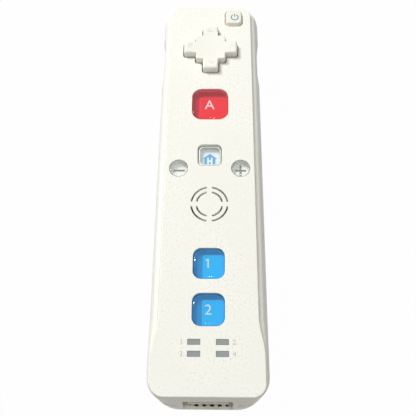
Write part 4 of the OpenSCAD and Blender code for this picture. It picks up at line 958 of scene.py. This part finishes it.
# outlines of the four triangles, cut back to a thin layer just under the dished top
def arrowCutter(cross):
    tools = []
    for q in range(4):
        outer = ringed("arrow", [flatRing(triangle(0.0), pad["top"] + z) for z in (-1, 1)])
        core = ringed("arrowCore", [flatRing(triangle(-pad["arrowLine"]), pad["top"] + z) for z in (-1.5, 1.5)])
        cut(outer, core)
        outer.data.transform(Matrix.Rotation(math.radians(90 * q), 4, "Z"))
        tools.append(outer)
    tool = merged(tools)
    lowered = cross.copy()
    lowered.data = cross.data.copy()
    bpy.context.collection.objects.link(lowered)
    shift(lowered, z=-pad["arrowDepth"])
    cut(tool, lowered)
    return tool


def makePad():
    edge, spare = pad["edge"], pad["spare"]
    levels = [(pad["skirtTop"] - 0.1, 0.0), (pad["top"] - edge + spare, 0.0)]
    for a in np.radians(np.linspace(15, 90, 6)):
        levels.append((pad["top"] + spare - edge + edge * math.sin(a), -edge * (1 - math.cos(a))))
    cross = ringed("padCross", [flatRing(crossShape(d), z) for z, d in levels])
    activate(cross)
    middle = (0, 0, (pad["top"] + pad["dish"] - pad["dishDepth"]) / 1000)
    bpy.ops.mesh.primitive_uv_sphere_add(segments=256, ring_count=128, radius=pad["dish"] / 1000, location=middle)
    cut(cross, bpy.context.object)
    cut(cross, arrowCutter(cross))
    shift(cross, y=pad["y"])
    skirt = ringed("padSkirt", [flatRing(circle(pad["skirt"], 96), pad["skirtTop"] + z) for z in (-1, 0)])
    shift(skirt, y=pad["y"])
    join(cross, skirt)
    smooth(cross, 30)
    return cross


finish(makePad(), "dpad", "button_plastic", controlAbs, "dpad")
print("pad made")


# faint numbers beside the lights

numbers = {"1": (-8.1, 0.5), "2": (7.9, 0.5), "3": (-8.1, -0.5), "4": (7.9, -0.5)}
numberLook = {"height": 1.55, "spread": 0.95, "thick": 0.025, "sunk": 0.01}
tools = []
for text, (x, t) in numbers.items():
    tools.append(lettered("number" + text, text, numberLook["height"], x, lights["y"] + t * lights["pitch"],
                          body["face"] - numberLook["sunk"], numberLook["spread"], numberLook["thick"]))
finish(merged(tools), "housing", "shell_plastic", faintInk)
bpy.context.object.name = "lightNumbers"


# cells, springs and screws

# lowest and highest corners of a node, in millimetres
def span(node):
    co = np.array([v.co[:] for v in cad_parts[node].data.vertices]) * 1000
    return co.min(0), co.max(0)


cell = {
    "radius": 7.15, "length": 49.0, "collar": 35.0, "cap": 6.5, "nub": 2.75, "nubHeight": 1.2,
    "x": 7.35, "z": 9.1,
}


def lathed(name, profile, sides=64):
    return ringed(name, [flatRing(circle(r, sides), t) for r, t in profile])


def tube(name, inner, profile):
    obj = lathed(name, profile)
    cut(obj, lathed("bore", [(inner, profile[0][1] - 1), (inner, profile[-1][1] + 1)]))
    return obj


# puts a piece made upright into a cell's place, from its flat end at y
def lieDown(obj, side, y, sense):
    obj.data.transform(Matrix.Translation((side * cell["x"] / 1000, y / 1000, cell["z"] / 1000)) @
                       Matrix.Rotation(math.radians(-90 * sense), 4, "X"))


def makeCell(node, side, sense):
    low, high = span(node)
    start = low[1] if sense > 0 else high[1]
    r, end, cap, nub, tip = cell["radius"], cell["length"], cell["cap"], cell["nub"], cell["nubHeight"]
    wrap = tube(node + "Wrap", cap, [(r - 0.3, 0.1), (r, 0.3), (r, cell["collar"])])
    collar = tube(node + "Collar", cap,
                  [(r, cell["collar"]), (r, end - 0.5), (r - 0.1, end - 0.25), (r - 0.35, end - 0.1)])
    can = lathed(node + "Can", [(cap - 0.5, 0.0), (cap - 0.05, 0.25), (cap - 0.05, end - 0.3), (cap - 0.4, end),
                                (nub, end), (nub, end + tip - 0.3), (nub - 0.3, end + tip)])
    stuff = ((wrap, foilMaterial, "cell_wrap"), (collar, copperFoil, "cell_wrap"), (can, zincSteel, "steel"))
    for obj, material, slotName in stuff:
        lieDown(obj, side, start, sense)
        smooth(obj, 30)
        finish(obj, "housing", slotName, material, node)


makeCell("battery_left", -1, 1)
makeCell("battery_right", 1, -1)


def coilSpring(name, r0, r1, height, wire, turns):
    curve = bpy.data.curves.new(name, "CURVE")
    curve.dimensions = "3D"
    curve.bevel_depth = wire / 1000
    curve.bevel_resolution = 3
    curve.use_fill_caps = True
    line = curve.splines.new("POLY")
    steps = turns * 32
    line.points.add(steps)
    for k in range(steps + 1):
        t = k / steps
        a, r = 2 * math.pi * turns * t, (r0 + (r1 - r0) * t) / 1000
        line.points[k].co = (r * math.cos(a), r * math.sin(a), (wire + (height - 2 * wire) * t) / 1000, 1)
    obj = bpy.data.objects.new(name, curve)
    bpy.context.collection.objects.link(obj)
    activate(obj)
    bpy.ops.object.convert(target="MESH")
    obj = bpy.context.object
    smooth(obj, 60, False)
    return obj


cellSpring = {"wide": 4.6, "narrow": 2.6, "height": 3.4, "wire": 0.3, "turns": 3}
low, high = span("battery_springs")
coils = []
for side, y, sense in ((-1, low[1], 1), (1, high[1], -1)):
    obj = coilSpring("cellSpring", cellSpring["wide"], cellSpring["narrow"], cellSpring["height"],
                     cellSpring["wire"], cellSpring["turns"])
    lieDown(obj, side, y, sense)
    coils.append(obj)
springs = merged(coils)
springs.name = "cellSprings"
finish(springs, "housing", "steel", steel, "battery_springs")

# the trigger squeezes its spring by its travel; the coil here is as tall as its node
triggerSpring = {"radius": 1.9, "wire": 0.25, "turns": 6, "travel": 1.75}
low, high = span("trigger_spring")
obj = coilSpring("triggerSpring", triggerSpring["radius"], triggerSpring["radius"], high[2] - low[2],
                 triggerSpring["wire"], triggerSpring["turns"])
shift(obj, (low[0] + high[0]) / 2, (low[1] + high[1]) / 2, low[2])
finish(obj, "housing", "steel", steel, "trigger_spring")
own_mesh(obj)


# silicone keypads: each part under a button, which sinks with it, is cut out as a piece of its own

# node, joint, travel and the region of the node that the piece is: x from and to, y from and to
keypads = {
    "powerKeypad": ("upper_keypad", "power_press", 0.55, (-30, 30, 40, 80)),
    "aKeypad": ("middle_keypad", "a_press", 1.05, (-30, 30, 17, 40)),
    "minusKeypad": ("middle_keypad", "minus_press", 0.55, (-30, -6, -10, 17)),
    "homeKeypad": ("middle_keypad", "home_press", 0.55, (-6, 6, -10, 17)),
    "plusKeypad": ("middle_keypad", "plus_press", 0.55, (6, 30, -10, 17)),
    "oneKeypad": ("lower_keypad", "one_press", 0.85, (-30, 30, -39.25, -20)),
    "twoKeypad": ("lower_keypad", "two_press", 0.85, (-30, 30, -70, -39.25)),
}
pieces = {name: dressed(settings[0], name, 0) for name, settings in keypads.items()}
for name, (node, joint, travel, (x0, x1, y0, y1)) in keypads.items():
    piece = pieces[name]
    region = box("region", x0, x1, y0, y1, 10, 40)
    modify(piece, "BOOLEAN", object=region, operation="INTERSECT", solver="EXACT")
    bpy.data.objects.remove(region)
    smooth(piece, 30)
    finish(piece, "housing", "rubber", silicone, node)
    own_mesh(piece)


# shell screws with a cross recess in each head; the two slots of a cross overlap, so each is a cut of its own
shellScrew = {
    "endX": 12.6, "endY": -66.0, "endZ": 4.6, "noseX": 12.9, "noseY": 60.5, "noseZ": 9.8,
    "bevel": 0.2, "slotHalf": 1.14, "slotWide": 0.3, "below": 0.5, "deep": 0.7,
}


def makeScrews():
    screws = dressed("shell_screws", "shellScrews", shellScrew["bevel"])
    long, wide = shellScrew["slotHalf"], shellScrew["slotWide"]
    for end in ("end", "nose"):
        for side in (-1, 1):
            x, y, z = side * shellScrew[end + "X"], shellScrew[end + "Y"], shellScrew[end + "Z"]
            for w, d in ((long, wide), (wide, long)):
                cut(screws, box("recess", x - w, x + w, y - d, y + d, z - shellScrew["below"], z + shellScrew["deep"]))
    smooth(screws, 30)
    finish(screws, "housing", "steel", zincSteel, "shell_screws")


makeScrews()
print("cells, springs and screws made")


# plain finishes for the nodes that keep their shape

plain = {
    "dpad_pivot": silicone, "trigger_pin": steel, "trigger_switch": blackPlastic,
    "main_board": boardMaterial, "processor_chip": blackPlastic, "motion_sensor": blackPlastic,
    "radio_can": zincSteel, "capacitors": blackPlastic,
    "light_chips": markInk, "speaker_basket": blackPlastic, "speaker_cone": coneMaterial, "speaker_gasket": silicone,
    "rumble_motor": zincSteel, "rumble_weight": tungsten, "ir_camera": blackPlastic, "ir_holder": creamNylon,
    "port_contacts": gold, "strap_bars": steel, "sync_button": redPlastic, "sync_switch": blackPlastic,
    "battery_plates": zincSteel, "board_screws": zincSteel,
}
for node, material in plain.items():
    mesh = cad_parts[node].data
    mesh.materials.clear()
    mesh.materials.append(material)
print("plain nodes finished")

deselect()
